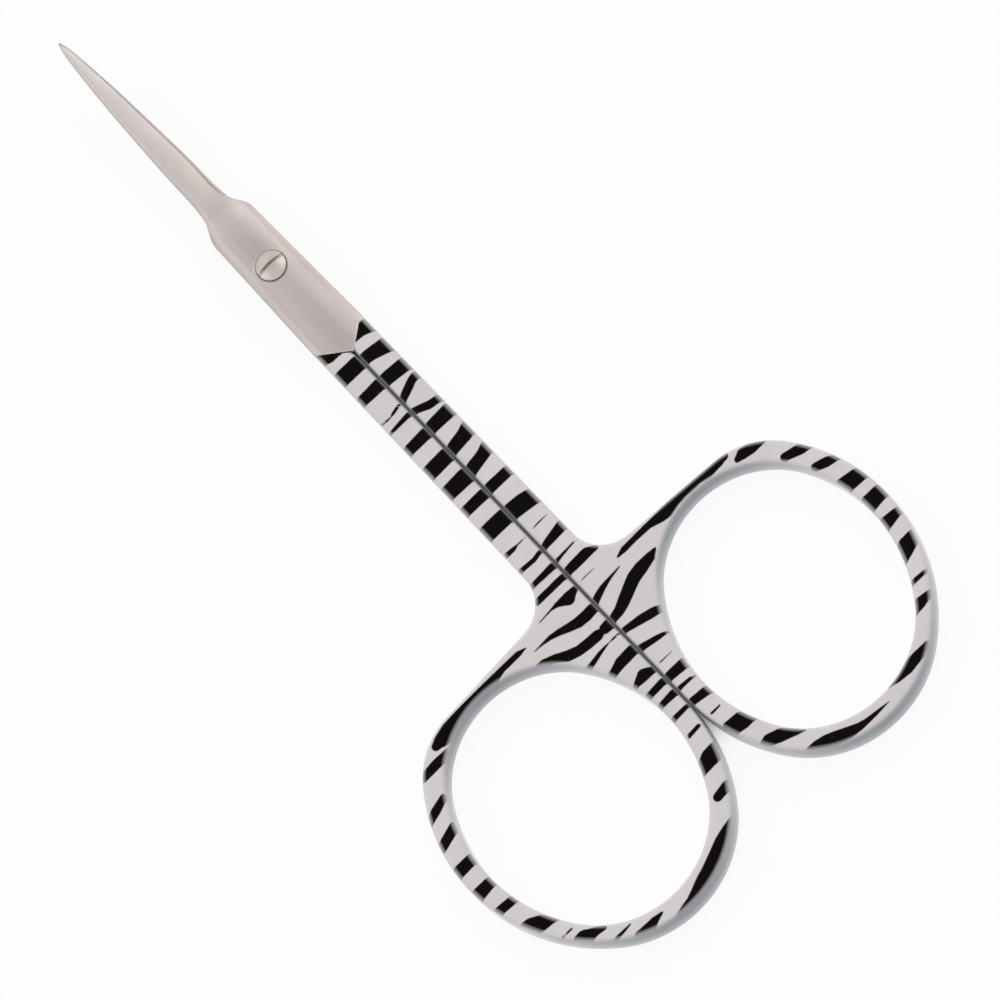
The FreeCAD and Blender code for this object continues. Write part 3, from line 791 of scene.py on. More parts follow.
class HandlePlan:
    """The outline of one handle at an even inset, drawn where Y is positive.

    Paths at different insets have the same number of points, each on the same
    spoke, so that neighbouring paths make a strip of quads.
    """

    def __init__(self, sizes: HandleSizes, inset: float, counts: list[int] | None = None) -> None:
        """Work out the outline.

        Args:
            sizes: The handle's sizes.
            inset: How far inside the true edge the paths run.
            counts: The number of steps on each stretch, taken from another
                plan. Without them they follow from the spacing.
        """
        self.sizes = sizes
        bow, hole = sizes.bow(inset), sizes.hole(inset)
        front = np.array((-sizes.shoulder_outer_back, sizes.front_half_width))
        rear = np.array((-sizes.bow_shoulder_back, sizes.rear_half_width))
        run = (front - rear) / np.linalg.norm(front - rear)
        shank_normal = np.array((-run[1], run[0]))
        shank = front - shank_normal * inset
        leg = front - np.array((-sizes.shoulder_outer_back - sizes.shoulder_rake, 0.0))
        leg_normal = np.array((leg[1], -leg[0])) / np.linalg.norm(leg)
        shoulder_normal = heading(math.radians(sizes.bow_shoulder_lean))
        shoulder = rear - shoulder_normal * inset

        seam_turn = 3 * math.pi / 2 - bow.lean
        centre = np.array((0.0, sizes.seam_gap / 2 - bow.point(seam_turn)[1] + inset))
        facing = math.radians(sizes.bow_shoulder_lean - sizes.hole_lean)
        to_shoulder = (shoulder - centre - hole.point(facing)) @ shoulder_normal
        centre[0] = (to_shoulder - sizes.bow_shoulder_wall + 2 * inset) / shoulder_normal[0]
        bow = bow.moved(centre)
        self.hole = hole.moved(centre)

        turn = math.radians(sizes.bow_corner_turn)
        outward = heading(bow.lean + turn)
        corner_end = bow.point(turn)
        to_corner = (shoulder - corner_end) @ shoulder_normal
        corner_radius = to_corner / (1 - outward @ shoulder_normal)
        corner_centre = corner_end - outward * corner_radius
        corner_start = corner_centre + shoulder_normal * corner_radius
        reach = sizes.crotch_radius + inset
        crotch_centre = crossing(
            shank + shank_normal * reach,
            shank_normal,
            shoulder + shoulder_normal * reach,
            shoulder_normal,
        )
        crotch_start = crotch_centre - shoulder_normal * reach
        crotch_end = crotch_centre - shank_normal * reach
        seam_end = bow.point(seam_turn)
        inner = crossing(front, leg_normal, seam_end, np.array((0.0, 1.0)))
        outer = crossing(front, leg_normal, shank, shank_normal)
        stretches: list[Stretch] = [
            self.line(inner, seam_end),
            lambda share: bow.point(seam_turn + (turn - seam_turn) * share),
            self.arc(corner_centre, corner_end, corner_start),
            self.line(corner_start, crotch_start),
            self.arc(crotch_centre, crotch_start, crotch_end),
            self.line(crotch_end, outer),
            lambda share: self.hole.point(2 * math.pi * share),
        ]
        self.counts = counts or [self.steps(stretch) for stretch in stretches]
        paths = [
            [stretch(step / count) for step in range(count)]
            for stretch, count in zip(stretches, self.counts)
        ]
        self.path = np.array(sum(paths[:-1], []) + [outer])
        self.hole_path = np.array(paths[-1])
        self.shoulder_ends = (inner, outer)

    @staticmethod
    def line(start: np.ndarray, finish: np.ndarray) -> Stretch:
        """Give a straight stretch as a function of its share."""
        return lambda share: start + (finish - start) * share

    @staticmethod
    def arc(centre: np.ndarray, start: np.ndarray, finish: np.ndarray) -> Stretch:
        """Give the shorter arc about a centre as a function of its share.

        Args:
            centre: The arc's centre.
            start: The point where it starts.
            finish: A point in whose direction it ends.

        Returns:
            The function, from a share of 0 to 1 to the point there.
        """
        first, last = start - centre, finish - centre
        radius = np.linalg.norm(first)
        begin = math.atan2(first[1], first[0])
        sweep = math.remainder(math.atan2(last[1], last[0]) - begin, 2 * math.pi)
        return lambda share: centre + heading(begin + sweep * share) * radius

    def steps(self, stretch: Stretch) -> int:
        """Count the steps that keep to the spacing on a stretch.

        Args:
            stretch: The stretch.

        Returns:
            The number of steps.
        """
        shares = np.linspace(0, 1, self.sizes.measuring_steps + 1)
        marks = np.array([stretch(share) for share in shares])
        length = np.linalg.norm(np.diff(marks, axis=0), axis=1).sum()
        return max(self.sizes.least_steps, round(length / self.sizes.spacing))


def inside(points: np.ndarray, ring: np.ndarray) -> np.ndarray:
    """Tell which points lie inside a closed ring.

    Args:
        points: The points, one a row.
        ring: The ring's corners, one a row.

    Returns:
        A true or false for each point.
    """
    start, finish = ring, np.roll(ring, -1, axis=0)
    x, y = points[:, :1], points[:, 1:]
    crosses = (start[:, 1] > y) != (finish[:, 1] > y)
    rise = finish[:, 1] - start[:, 1]
    rise = np.where(rise == 0, 1.0, rise)
    reach = start[:, 0] + (y - start[:, 1]) * (finish[:, 0] - start[:, 0]) / rise
    return (np.sum(crosses & (x < reach), axis=1) % 2).astype(bool)


def closed(first: int, count: int) -> list[tuple[int, int]]:
    """Pair each of a row of indices with the next one, and the last with the first."""
    return [(first + step, first + (step + 1) % count) for step in range(count)]


def stroke_distance(points: np.ndarray, stroke: Stroke) -> np.ndarray:
    """Measure how far points lie outside a stroke of changing width.

    Args:
        points: The points, one a row.
        stroke: The stroke's spots, each with its place and half width.

    Returns:
        The distance from the stroke's edge, negative inside it.
    """
    nearest = np.full(len(points), np.inf)
    for start, finish in zip(stroke, stroke[1:]):
        begin = np.array(start[:2])
        run = np.array(finish[:2]) - begin
        share = np.clip((points - begin) @ run / (run @ run), 0, 1)
        gap = np.linalg.norm(points - begin - share[:, None] * run, axis=1)
        nearest = np.minimum(nearest, gap - (start[2] + (finish[2] - start[2]) * share))
    return nearest


# The print: each stroke runs through spots of (distance behind the pivot,
# distance across, half width). The first set lies on the upper half's handle.

UPPER_STROKES: tuple[Stroke, ...] = (
    # Bars across the shank, from the shoulder back to the crotch
    ((10.69, -2.98, 0.90), (10.50, -1.95, 0.66), (10.76, -0.73, 0.25)),
    ((13.28, -2.99, 0.93), (13.09, -2.08, 0.76), (12.84, -1.07, 0.66), (12.71, 0.04, 0.62)),
    ((15.81, -2.98, 0.75), (15.54, 0.02, 0.68)),
    ((17.23, -3.05, 0.42), (17.34, -2.02, 0.43), (17.78, -1.00, 0.43), (18.25, 0.09, 0.38)),
    ((20.47, -2.99, 0.38), (20.24, -1.61, 0.42), (19.54, -0.03, 0.34)),
    ((21.90, -2.99, 0.76), (21.94, 0.01, 0.66)),
    ((24.35, -2.96, 0.81), (24.63, -1.98, 0.72), (24.89, 0.01, 0.63)),
    ((26.91, -2.96, 0.72), (27.23, -1.98, 0.62), (27.58, 0.01, 0.67)),
    ((30.03, -3.02, 0.55), (30.00, -0.01, 0.58)),
    ((33.52, -3.05, 0.84), (33.23, -1.65, 0.91), (33.05, -0.05, 0.88)),
    ((35.62, -2.44, 0.03), (35.62, -1.34, 0.08), (35.68, -0.64, 0.04)),
    ((37.31, -3.02, 0.59), (37.46, -2.03, 0.52), (37.71, -0.04, 0.34)),
    ((39.28, -2.84, 0.08), (39.36, -1.65, 0.11), (39.50, -0.05, 0.23)),
    ((41.11, -3.46, 0.29), (40.88, -2.56, 0.52), (40.92, -1.15, 0.51), (40.95, -0.06, 0.45)),
    ((42.45, -2.17, 0.02), (42.46, -1.07, 0.06), (42.48, -0.47, 0.03)),
    # The bow, from the crotch round its far end and back along the seam
    (
        (43.24, -17.05, 0.48), (43.08, -16.40, 0.74), (42.91, -15.19, 0.97), (42.94, -13.97, 0.67),
        (43.06, -12.17, 0.52), (43.14, -11.16, 0.53), (43.29, -10.16, 0.63), (43.28, -9.48, 0.57),
        (43.09, -8.18, 0.35), (43.09, -6.17, 0.29), (43.13, -5.14, 0.31), (43.25, -4.33, 0.11),
    ),
    ((44.72, -20.50, 0.34), (44.52, -19.45, 0.58), (44.36, -18.45, 0.56), (44.42, -17.75, 0.30)),
    ((48.22, -23.64, 0.35), (47.86, -22.44, 0.55), (47.38, -20.90, 0.42)),
    ((50.91, -24.49, 0.30), (50.46, -23.21, 0.50), (50.08, -22.22, 0.42)),
    ((53.57, -25.53, 0.69), (53.29, -22.73, 0.87)),
    ((56.03, -25.82, 0.74), (56.20, -22.42, 0.91)),
    ((58.50, -25.84, 0.30), (58.65, -22.43, 0.78)),
    ((61.04, -25.15, 0.46), (61.49, -23.32, 0.84), (62.23, -21.49, 0.71)),
    ((64.52, -23.26, 0.20), (64.42, -20.86, 0.27)),
    ((66.25, -22.24, 0.25), (66.33, -20.64, 0.56), (66.21, -18.86, 0.83)),
    (
        (69.54, -18.62, 0.23), (69.82, -17.44, 0.50), (69.97, -15.86, 0.61), (70.04, -14.58, 0.40),
        (70.01, -13.49, 0.12),
    ),
    (
        (71.09, -12.69, 0.04), (71.04, -11.29, 0.20), (70.98, -10.11, 0.29), (70.87, -9.33, 0.40),
        (70.59, -8.34, 0.57), (70.19, -7.36, 0.66), (69.69, -6.34, 0.63), (69.28, -5.52, 0.41),
        (68.98, -4.71, 0.12),
    ),
    (
        (67.59, -5.75, 0.06), (67.04, -5.04, 0.36), (66.29, -3.88, 0.66), (65.84, -2.80, 0.60),
        (65.77, -2.27, 0.40),
    ),
    ((63.18, -3.70, 0.44), (62.70, -2.30, 0.89), (62.52, -1.08, 0.80)),
    ((60.22, -2.00, 0.08), (60.22, -0.80, 0.14)),
    ((58.48, -2.94, 0.52), (58.12, -0.15, 0.40)),
    ((56.48, -2.43, 0.14), (56.35, -0.13, 0.25)),
    ((54.98, -2.52, 0.58), (54.88, -0.12, 0.48)),
    ((53.32, -2.11, 0.02), (53.33, -0.61, 0.08)),
    ((51.72, -3.13, 0.13), (51.46, -2.02, 0.28), (51.02, -0.13, 0.38)),
    ((49.69, -4.15, 0.35), (49.40, -3.23, 0.48), (49.09, -2.02, 0.46), (48.71, -0.12, 0.31)),
    (
        (45.10, -7.22, 0.13), (45.38, -6.35, 0.49), (45.53, -5.15, 0.65), (45.73, -4.09, 0.66),
        (46.20, -3.06, 0.63), (46.69, -2.07, 0.60), (47.08, -1.12, 0.51), (47.24, -0.05, 0.41),
    ),
    ((44.02, -3.86, 0.06), (44.17, -2.55, 0.17), (44.39, -1.44, 0.31), (44.89, -0.04, 0.41)),
)

LOWER_STROKES: tuple[Stroke, ...] = (
    # Bars across the shank, from the shoulder back to the crotch
    ((9.77, 2.81, 0.72), (10.33, 1.82, 0.53), (10.79, 0.88, 0.12)),
    ((12.64, -0.05, 0.81), (12.65, 2.85, 0.81)),
    ((15.52, -0.06, 0.67), (15.56, 2.84, 0.55)),
    ((18.22, 0.30, 0.16), (18.45, 1.25, 0.16), (18.54, 1.60, 0.05), (18.55, 2.05, 0.10),
     (18.46, 2.60, 0.13)),
    ((19.53, -0.08, 0.30), (19.66, 2.82, 0.16)),
    ((22.00, -0.09, 0.64), (22.08, 2.81, 0.54)),
    ((24.89, -0.10, 0.79), (25.00, 2.80, 0.78)),
    ((27.59, -0.11, 0.88), (27.64, 2.79, 0.78)),
    ((30.04, -0.12, 0.60), (30.06, 2.78, 0.56)),
    ((33.01, -0.14, 0.87), (33.00, 2.77, 0.86)),
    ((35.77, 0.16, 0.04), (35.78, 1.26, 0.08), (35.83, 1.80, 0.22), (35.80, 2.60, 0.26)),
    ((37.66, -0.14, 0.22), (37.92, 1.15, 0.24), (37.82, 2.75, 0.25)),
    ((39.59, -0.16, 0.40), (39.64, 3.04, 0.26)),
    ((41.02, -0.16, 0.36), (41.05, 3.50, 0.34)),
    ((42.52, 0.06, 0.22), (42.86, 1.33, 0.65), (42.55, 2.41, 0.26), (42.51, 3.14, 0.10),
     (42.63, 4.64, 0.05)),
    # The bow, from the seam down its near end, round and back
    (
        (45.12, -0.16, 0.53), (45.24, 1.22, 0.57), (45.18, 2.09, 0.54), (44.93, 2.99, 0.44),
        (44.60, 3.90, 0.34), (44.37, 4.82, 0.24), (44.31, 5.83, 0.11), (44.30, 6.73, 0.03),
    ),
    ((47.32, -0.19, 0.61), (47.35, 0.81, 0.54), (47.38, 1.21, 0.15)),
    (
        (47.35, 1.16, 0.10), (47.35, 1.71, 0.54), (47.29, 2.80, 0.53), (47.18, 3.80, 0.51),
        (46.80, 4.81, 0.54), (46.11, 5.81, 0.40), (45.66, 6.81, 0.34), (45.42, 7.61, 0.10),
    ),
    (
        (48.60, -0.19, 0.10), (48.60, 1.00, 0.10), (48.60, 1.35, 0.04), (48.62, 1.80, 0.12),
        (48.73, 2.60, 0.21), (48.96, 3.70, 0.27), (49.06, 4.50, 0.27),
    ),
    ((50.65, -0.19, 0.58), (50.74, 1.82, 0.57), (51.10, 3.32, 0.37)),
    ((53.42, -0.03, 0.30), (53.11, 1.19, 0.62), (53.39, 2.49, 0.24)),
    ((54.81, -0.22, 0.41), (54.96, 2.58, 0.34)),
    ((56.32, -0.22, 0.45), (56.41, 2.58, 0.26)),
    ((58.09, -0.23, 0.22), (58.17, 2.57, 0.30)),
    ((60.22, 0.75, 0.21), (60.32, 2.00, 0.23)),
    ((63.00, 0.60, 0.80), (63.15, 1.90, 0.88), (63.50, 3.30, 0.60)),
    ((66.10, 1.60, 0.46), (66.24, 2.80, 0.50), (66.40, 3.85, 0.45)),
    (
        (68.93, 4.07, 0.42), (69.43, 5.08, 0.72), (69.87, 6.21, 0.84), (70.34, 7.44, 0.76),
        (70.81, 8.65, 0.71), (71.25, 9.86, 0.72), (71.62, 10.75, 0.68), (71.86, 11.74, 0.53),
        (71.96, 12.73, 0.42), (72.07, 14.03, 0.17),
    ),
    ((70.68, 14.33, 0.12), (70.74, 15.25, 0.38), (70.96, 16.22, 0.60), (70.83, 17.10, 0.50),
     (70.74, 17.90, 0.20)),
    ((69.40, 17.00, 0.08), (69.46, 18.20, 0.18), (69.46, 19.40, 0.12)),
    ((67.85, 18.90, 0.30), (67.58, 19.76, 0.47), (67.38, 20.74, 0.81), (67.31, 21.96, 0.65)),
    ((65.86, 20.90, 0.09), (65.84, 22.40, 0.12)),
    ((64.18, 21.34, 0.22), (63.50, 22.50, 0.76), (63.11, 23.51, 0.91), (62.84, 24.53, 0.74)),
    ((60.02, 22.45, 0.46), (59.85, 25.34, 0.48)),
    ((57.25, 22.54, 0.52), (57.43, 25.37, 0.72)),
    ((54.49, 22.59, 0.60), (54.56, 25.39, 0.64)),
    ((51.09, 22.24, 0.52), (51.77, 24.39, 0.50)),
    ((48.37, 21.20, 0.36), (48.80, 22.50, 0.46), (49.27, 23.74, 0.36)),
    ((45.58, 18.20, 0.42), (45.60, 19.60, 0.50), (45.72, 21.30, 0.42)),
    (
        (43.47, 7.01, 0.06), (43.39, 7.82, 0.29), (43.40, 9.83, 0.31), (43.66, 11.83, 0.56),
        (43.78, 13.82, 0.65), (43.92, 15.31, 0.74), (44.16, 16.82, 0.91), (44.25, 17.90, 0.70),
        (44.35, 18.60, 0.45),
    ),
)


# The coats


def build_rounded_skin() -> bpy.types.NodeTree:
    """Make the geometry nodes that raise a flat pattern into a rounded skin.

    The pattern's "rim" attribute says how far inside the edge a point lies. The
    tree lifts the top by that distance, mirrors it for the underside and joins
    the two by an upright wall.

    Returns:
        The geometry node tree.
    """
    inputs = [
        Port("Pattern", "NodeSocketGeometry"),
        Port("Thickness", start=2.5 * MM),
        Port("Edge Radius", start=0.5 * MM),
        Port("Finish", "NodeSocketMaterial"),
    ]
    outputs = [Port("Skin", "NodeSocketGeometry")]
    group = new_group("RoundedSkin", "GeometryNodeTree", inputs, outputs)
    tree = Tree(group)
    pattern, thickness, radius, finish = tree.add("NodeGroupInput").outputs[:4]
    rim = tree.add("GeometryNodeInputNamedAttribute", {"data_type": "FLOAT"}, name="rim").outputs[0]
    inward = tree.math("SUBTRACT", radius, tree.math("MINIMUM", rim, radius))
    radius_square = tree.math("MULTIPLY", radius, radius)
    squares = tree.math("SUBTRACT", radius_square, tree.math("MULTIPLY", inward, inward))
    arc = tree.math("SQRT", tree.math("MAXIMUM", squares, 0.0))
    half = tree.math("MULTIPLY", thickness, 0.5)
    wall_top = tree.math("SUBTRACT", half, radius)
    lift = tree.upright(tree.math("ADD", wall_top, arc))
    top = tree.add("GeometryNodeSetPosition", in_0=pattern, in_3=lift).outputs[0]
    mirrored = tree.add("GeometryNodeTransform", scale=(1.0, 1.0, -1.0), geometry=top).outputs[0]
    underside = tree.add("GeometryNodeFlipFaces", in_0=mirrored).outputs[0]
    faces_beside = tree.add("GeometryNodeInputMeshEdgeNeighbors").outputs[0]
    alone = {"data_type": "INT", "operation": "EQUAL"}
    on_border = tree.add("FunctionNodeCompare", alone, in_2=faces_beside, in_3=1).outputs[0]
    below = {"data_type": "FLOAT", "operation": "LESS_THAN"}
    at_edge = tree.add("FunctionNodeCompare", below, in_0=rim, in_1=TOUCHING).outputs[0]
    both = {"operation": "AND"}
    chosen = tree.add("FunctionNodeBooleanMath", both, in_0=on_border, in_1=at_edge).outputs[0]
    wall = {"selection": chosen, "offset": tree.upright(-1.0)}
    wall["offset_scale"] = tree.math("MULTIPLY", wall_top, 2.0)
    walled = tree.add("GeometryNodeExtrudeMesh", {"mode": "EDGES"}, in_0=top, **wall).outputs[0]
    join = tree.add("GeometryNodeJoinGeometry")
    for part in (underside, walled):
        tree.link(part, join, "Geometry")
    joined = join.outputs[0]
    merged = tree.add("GeometryNodeMergeByDistance", in_0=joined, distance=TOUCHING).outputs[0]
    rise = tree.upright(half)
    placed = tree.add("GeometryNodeTransform", geometry=merged, translation=rise).outputs[0]
    smooth = tree.add("GeometryNodeSetShadeSmooth", in_0=placed).outputs[0]
    real = tree.add("GeometryNodeRealizeInstances", in_0=smooth).outputs[0]
    dressed = tree.add("GeometryNodeSetMaterial", in_0=real, material=finish).outputs[0]
    tree.add("NodeGroupOutput", in_0=dressed)
    return group


def new_object(name: str, data: bpy.types.ID) -> bpy.types.Object:
    """Put a mesh, a lamp or a camera in the scene as an object at the origin.

    Args:
        name: The object's name.
        data: What the object shows.

    Returns:
        The object.
    """
    made = bpy.data.objects.new(name, data)
    bpy.context.scene.collection.objects.link(made)
    return made


def made_real(source: bpy.types.Object, name: str) -> bpy.types.Object:
    """Turn an object with modifiers into a plain one and delete the source.

    Args:
        source: The object whose modifiers make the shape.
        name: The name of the plain object.

    Returns:
        The plain object.
    """
    graph = bpy.context.evaluated_depsgraph_get()
    mesh = bpy.data.meshes.new_from_object(source.evaluated_get(graph), depsgraph=graph)
    mesh.name = name
    bpy.data.objects.remove(source)
    return new_object(name, mesh)


@dataclass
class HandleCoat:
    """The printed lacquer skin over one handle.

    Attributes:
        side: The side that the handle lies on.
        strokes: The strokes of its print.
        sizes: The handle's sizes.
        side_bare: How far inside the edge the print stops, and how softly,
            where the wall faces sideways or the tips.
        away_bare: The same on walls facing away from the tips, so more painted shade shows.
        seam_bare: The same beside the seam, where the painted seam shade shows.
        seam_reach: How far from the seam its painted shade reaches.
        seam_fade: The width over which that painted shade passes into the rest.
        full_cover: The cover inside the rounded edge, where all is printed.
        grid_margin: The least distance from the net to an edge or a thin
            stroke, as a share of the spacing.
        thin_stroke: The half width below which a stroke gets its own points.
        thin_step: The greatest distance between those points.
        decimals: The decimals to which two of those points have to differ.
        batch: How many points are measured at once.
    """

    side: Side
    strokes: tuple[Stroke, ...]
    sizes: HandleSizes = field(default_factory=HandleSizes)
    side_bare: Point = (0.04, 0.04)
    away_bare: Point = (0.18, 0.14)
    seam_bare: Point = (0.14, 0.08)
    seam_reach: float = 1.2
    seam_fade: float = 0.9
    full_cover: float = 5.0
    grid_margin: float = 0.6
    thin_stroke: float = 0.22
    thin_step: float = 0.15
    decimals: int = 4
    batch: int = 2000

    def pattern(self) -> bpy.types.Mesh:
        """Make the flat, dense pattern of the handle with its print distances.

        Returns:
            The flat mesh, in metres, with the attributes rim, stripe, cover,
            seam and away.
        """
        sizes = self.sizes
        first = HandlePlan(sizes, 0.0)
        turns = [math.pi / 2 * step / sizes.edge_steps for step in range(sizes.edge_steps + 1)]
        insets = [sizes.edge_radius * (1 - math.cos(turn)) for turn in turns]
        plans = [first] + [HandlePlan(sizes, inset, first.counts) for inset in insets[1:]]
        outer_count, hole_count = len(first.path), len(first.hole_path)
        per_ring = outer_count + hole_count
        cap_spots, cap_faces = self.cap(plans[-1], sizes.edge_steps * per_ring)
        rings = [ring for plan in plans for ring in (plan.path, plan.hole_path)]
        points = np.vstack(rings + [cap_spots])
        points[:, 1] *= self.side.value
        faces = self.facing_up(points, self.ring_faces(outer_count, hole_count) + cap_faces)
        limits, fades, beside_seam, away = self.bare_limits(first)
        covers = np.concatenate([(inset - limits) / fades for inset in insets])
        count = len(cap_spots)
        notes = {
            "rim": np.append(np.repeat(insets, per_ring), np.full(count, sizes.edge_radius)) * MM,
            "stripe": np.clip(self.print_distance(points), -1, 1),
            "cover": np.append(covers, np.full(count, self.full_cover)),
            "seam": np.append(np.tile(beside_seam, len(plans)), np.zeros(count)),
            "away": np.append(np.tile(away, len(plans)), np.zeros(count)),
        }
        mesh = bpy.data.meshes.new("pattern")
        flat = np.column_stack((points * MM, np.zeros(len(points))))
        mesh.from_pydata(flat.tolist(), [], faces)
        for name, values in notes.items():
            attribute = mesh.attributes.new(name, "FLOAT", "POINT")
            attribute.data.foreach_set("value", values.astype(np.float32))
        return mesh

    def ring_faces(self, outer_count: int, hole_count: int) -> list[Face]:
        """Join each ring to the next one inside it.

        Args:
            outer_count: The number of points on a ring's outer path.
            hole_count: The number of points on its path round the hole.

        Returns:
            The faces.
        """
        per_ring = outer_count + hole_count
        faces: list[Face] = []
        for ring in range(self.sizes.edge_steps):
            low = ring * per_ring
            high, round_hole = low + per_ring, low + outer_count
            for step in range(outer_count - 1):
                faces.append((low + step, low + step + 1, high + step + 1, high + step))
            for here, after in closed(round_hole, hole_count):
                faces.append((here, after, after + per_ring, here + per_ring))
        return faces

    def print_distance(self, points: np.ndarray) -> np.ndarray:
        """Measure how far points lie outside the nearest stroke of the print."""
        spots = np.column_stack((-points[:, 0], points[:, 1]))
        return np.min([stroke_distance(spots, stroke) for stroke in self.strokes], axis=0)

    def bare_limits(self, plan: HandlePlan) -> tuple[np.ndarray, ...]:
        """Say where the print stops, for each spoke of a ring.

        Args:
            plan: The plan of the handle's edge.

        Returns:
            How far inside the edge the print stops, how softly, how near the
            seam is and how much the wall faces away from the tips, the last two
            from 0 to 1.
        """
        within = HandlePlan(self.sizes, self.sizes.edge_radius, plan.counts)
        outward = np.vstack((plan.path - within.path, plan.hole_path - within.hole_path))
        away = np.clip(-outward[:, 0] / np.linalg.norm(outward, axis=1), 0, 1)
        beside_seam = np.clip((self.seam_reach - plan.path[:, 1]) / self.seam_fade, 0, 1)
        beside_seam = np.concatenate((beside_seam, np.zeros(len(plan.hole_path))))
        bounds = []
        for side, end, seam in zip(self.side_bare, self.away_bare, self.seam_bare):
            bound = side + (end - side) * away
            bounds.append(bound + (seam - bound) * beside_seam)
        return bounds[0], bounds[1], beside_seam, away

    def cap(self, plan: HandlePlan, offset: int) -> tuple[np.ndarray, list[Face]]:
        """Fill the flat face inside the last ring with an even net of triangles.

        Args:
            plan: The plan of the last ring.
            offset: The index of that ring's first point.

        Returns:
            The new points and the faces.
        """
        inner, outer = plan.shoulder_ends
        steps = max(2, round(np.linalg.norm(inner - outer) / self.sizes.spacing))
        leg = [outer + (inner - outer) * step / steps for step in range(1, steps)]
        border, hole = np.vstack((plan.path, leg)), plan.hole_path
        net = self.with_thin_strokes(self.net(border, hole), border, hole)
        first_hole = offset + len(plan.path)
        first_leg = first_hole + len(hole)
        first_net = first_leg + len(leg)
        owners = [
            *range(offset, first_hole),
            *range(first_leg, first_net),
            *range(first_hole, first_leg),
            *range(first_net, first_net + len(net)),
        ]
        spots = [Vector(spot) for spot in np.vstack((border, hole, net))]
        edges = closed(0, len(border)) + closed(len(border), len(hole))
        places, _, corners, sources, *_ = delaunay_2d_cdt(spots, edges, [], 0, SAME_SPOT)
        origin = [owners[source[0]] for source in sources]
        middles = np.array([np.mean([places[corner] for corner in face], 0) for face in corners])
        good = inside(middles, border) & ~inside(middles, hole)
        faces = [
            tuple(origin[corner] for corner in face) for face, fine in zip(corners, good) if fine
        ]
        return np.vstack((leg, net)), faces

    def net(self, border: np.ndarray, hole: np.ndarray) -> np.ndarray:
        """Spread an even net of points over the flat face.

        Args:
            border: The face's outer edge.
            hole: The edge round the finger hole.

        Returns:
            The points.
        """
        spacing = self.sizes.spacing
        low, high = border.min(axis=0), border.max(axis=0)
        rows = np.arange(low[1], high[1], spacing * math.sqrt(3) / 2)
        columns = np.arange(low[0], high[0], spacing)
        shifts = [(row % 2) * spacing / 2 for row in range(len(rows))]
        net = np.array([(x + shift, y) for shift, y in zip(shifts, rows) for x in columns])
        return self.on_face(net, border, hole)

    def on_face(self, points: np.ndarray, border: np.ndarray, hole: np.ndarray) -> np.ndarray:
        """Keep the points that lie on the flat face, clear of its edges.

        Args:
            points: The points.
            border: The face's outer edge.
            hole: The edge round the finger hole.

        Returns:
            The points that are kept.
        """
        points = points[inside(points, border) & ~inside(points, hole)]
        return points[self.clear_of(points, np.vstack((border, hole)))]

    def clear_of(self, points: np.ndarray, others: np.ndarray) -> np.ndarray:
        """Tell which points keep their distance from all the others.

        Args:
            points: The points.
            others: The points to keep away from.

        Returns:
            A true or false for each point.
        """
        gaps = []
        for start in range(0, len(points), self.batch):
            part = points[start : start + self.batch]
            gaps.append(np.linalg.norm(part[:, None] - others[None], axis=2).min(axis=1))
        return np.concatenate(gaps) > self.sizes.spacing * self.grid_margin

    def with_thin_strokes(
        self, net: np.ndarray, border: np.ndarray, hole: np.ndarray
    ) -> np.ndarray:
        """Add points along the thin strokes, so that a hairline stays whole.

        Args:
            net: The net's points.
            border: The face's outer edge.
            hole: The edge round the finger hole.

        Returns:
            The net with the strokes' points in place of those beside them.
        """
        spots = []
        for stroke in self.strokes:
            for start, finish in zip(stroke, stroke[1:]):
                begin, run = np.array(start[:2]), np.subtract(finish[:2], start[:2])
                steps = max(1, math.ceil(np.linalg.norm(run) / self.thin_step))
                if min(start[2], finish[2]) < self.thin_stroke:
                    spots += [begin + run * step / steps for step in range(steps + 1)]
        line = np.array(spots) * (-1, self.side.value)
        line = np.unique(np.round(line, self.decimals), axis=0)
        line = self.on_face(line, border, hole)
        return np.vstack((net[self.clear_of(net, line)], line))

    @staticmethod
    def facing_up(points: np.ndarray, faces: list[Face]) -> list[Face]:
        """Turn every face so that it runs counter-clockwise.

        Args:
            points: The points.
            faces: The faces, of three or four corners.

        Returns:
            The faces, turned where they ran the other way.
        """
        turned = []
        for face in faces:
            start, *rest = (points[corner] for corner in face)
            spokes = [corner - start for corner in rest]
            area = sum(near[0] * far[1] - near[1] * far[0] for near, far in zip(spokes, spokes[1:]))
            turned.append(face if area > 0 else face[::-1])
        return turned

    def build(self, skin_tree: bpy.types.NodeTree, finish: bpy.types.Material) -> bpy.types.Object:
        """Raise the pattern into a closed skin and give it its body.

        Args:
            skin_tree: The geometry nodes that raise a pattern.
            finish: The lacquer.

        Returns:
            The coat.
        """
        source = new_object("pattern", self.pattern())
        raising = source.modifiers.new("Rounded skin", "NODES")
        raising.node_group = skin_tree
        values = {
            "Thickness": self.sizes.thickness * MM,
            "Edge Radius": self.sizes.edge_radius * MM,
            "Finish": finish,
        }
        for item in skin_tree.interface.items_tree:
            if item.in_out == "INPUT" and item.name in values:
                raising[item.identifier] = values[item.name]
        wall = source.modifiers.new("Skin", "SOLIDIFY")
        wall.thickness = self.sizes.skin * MM
        wall.offset = -1.0
        wall.use_even_offset = True
        coat = made_real(source, f"{self.side.body}_printed_coat")
        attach(coat, self.side.body)
        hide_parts(f"{self.side.body}_handle_coat")
        return coat


# The steel


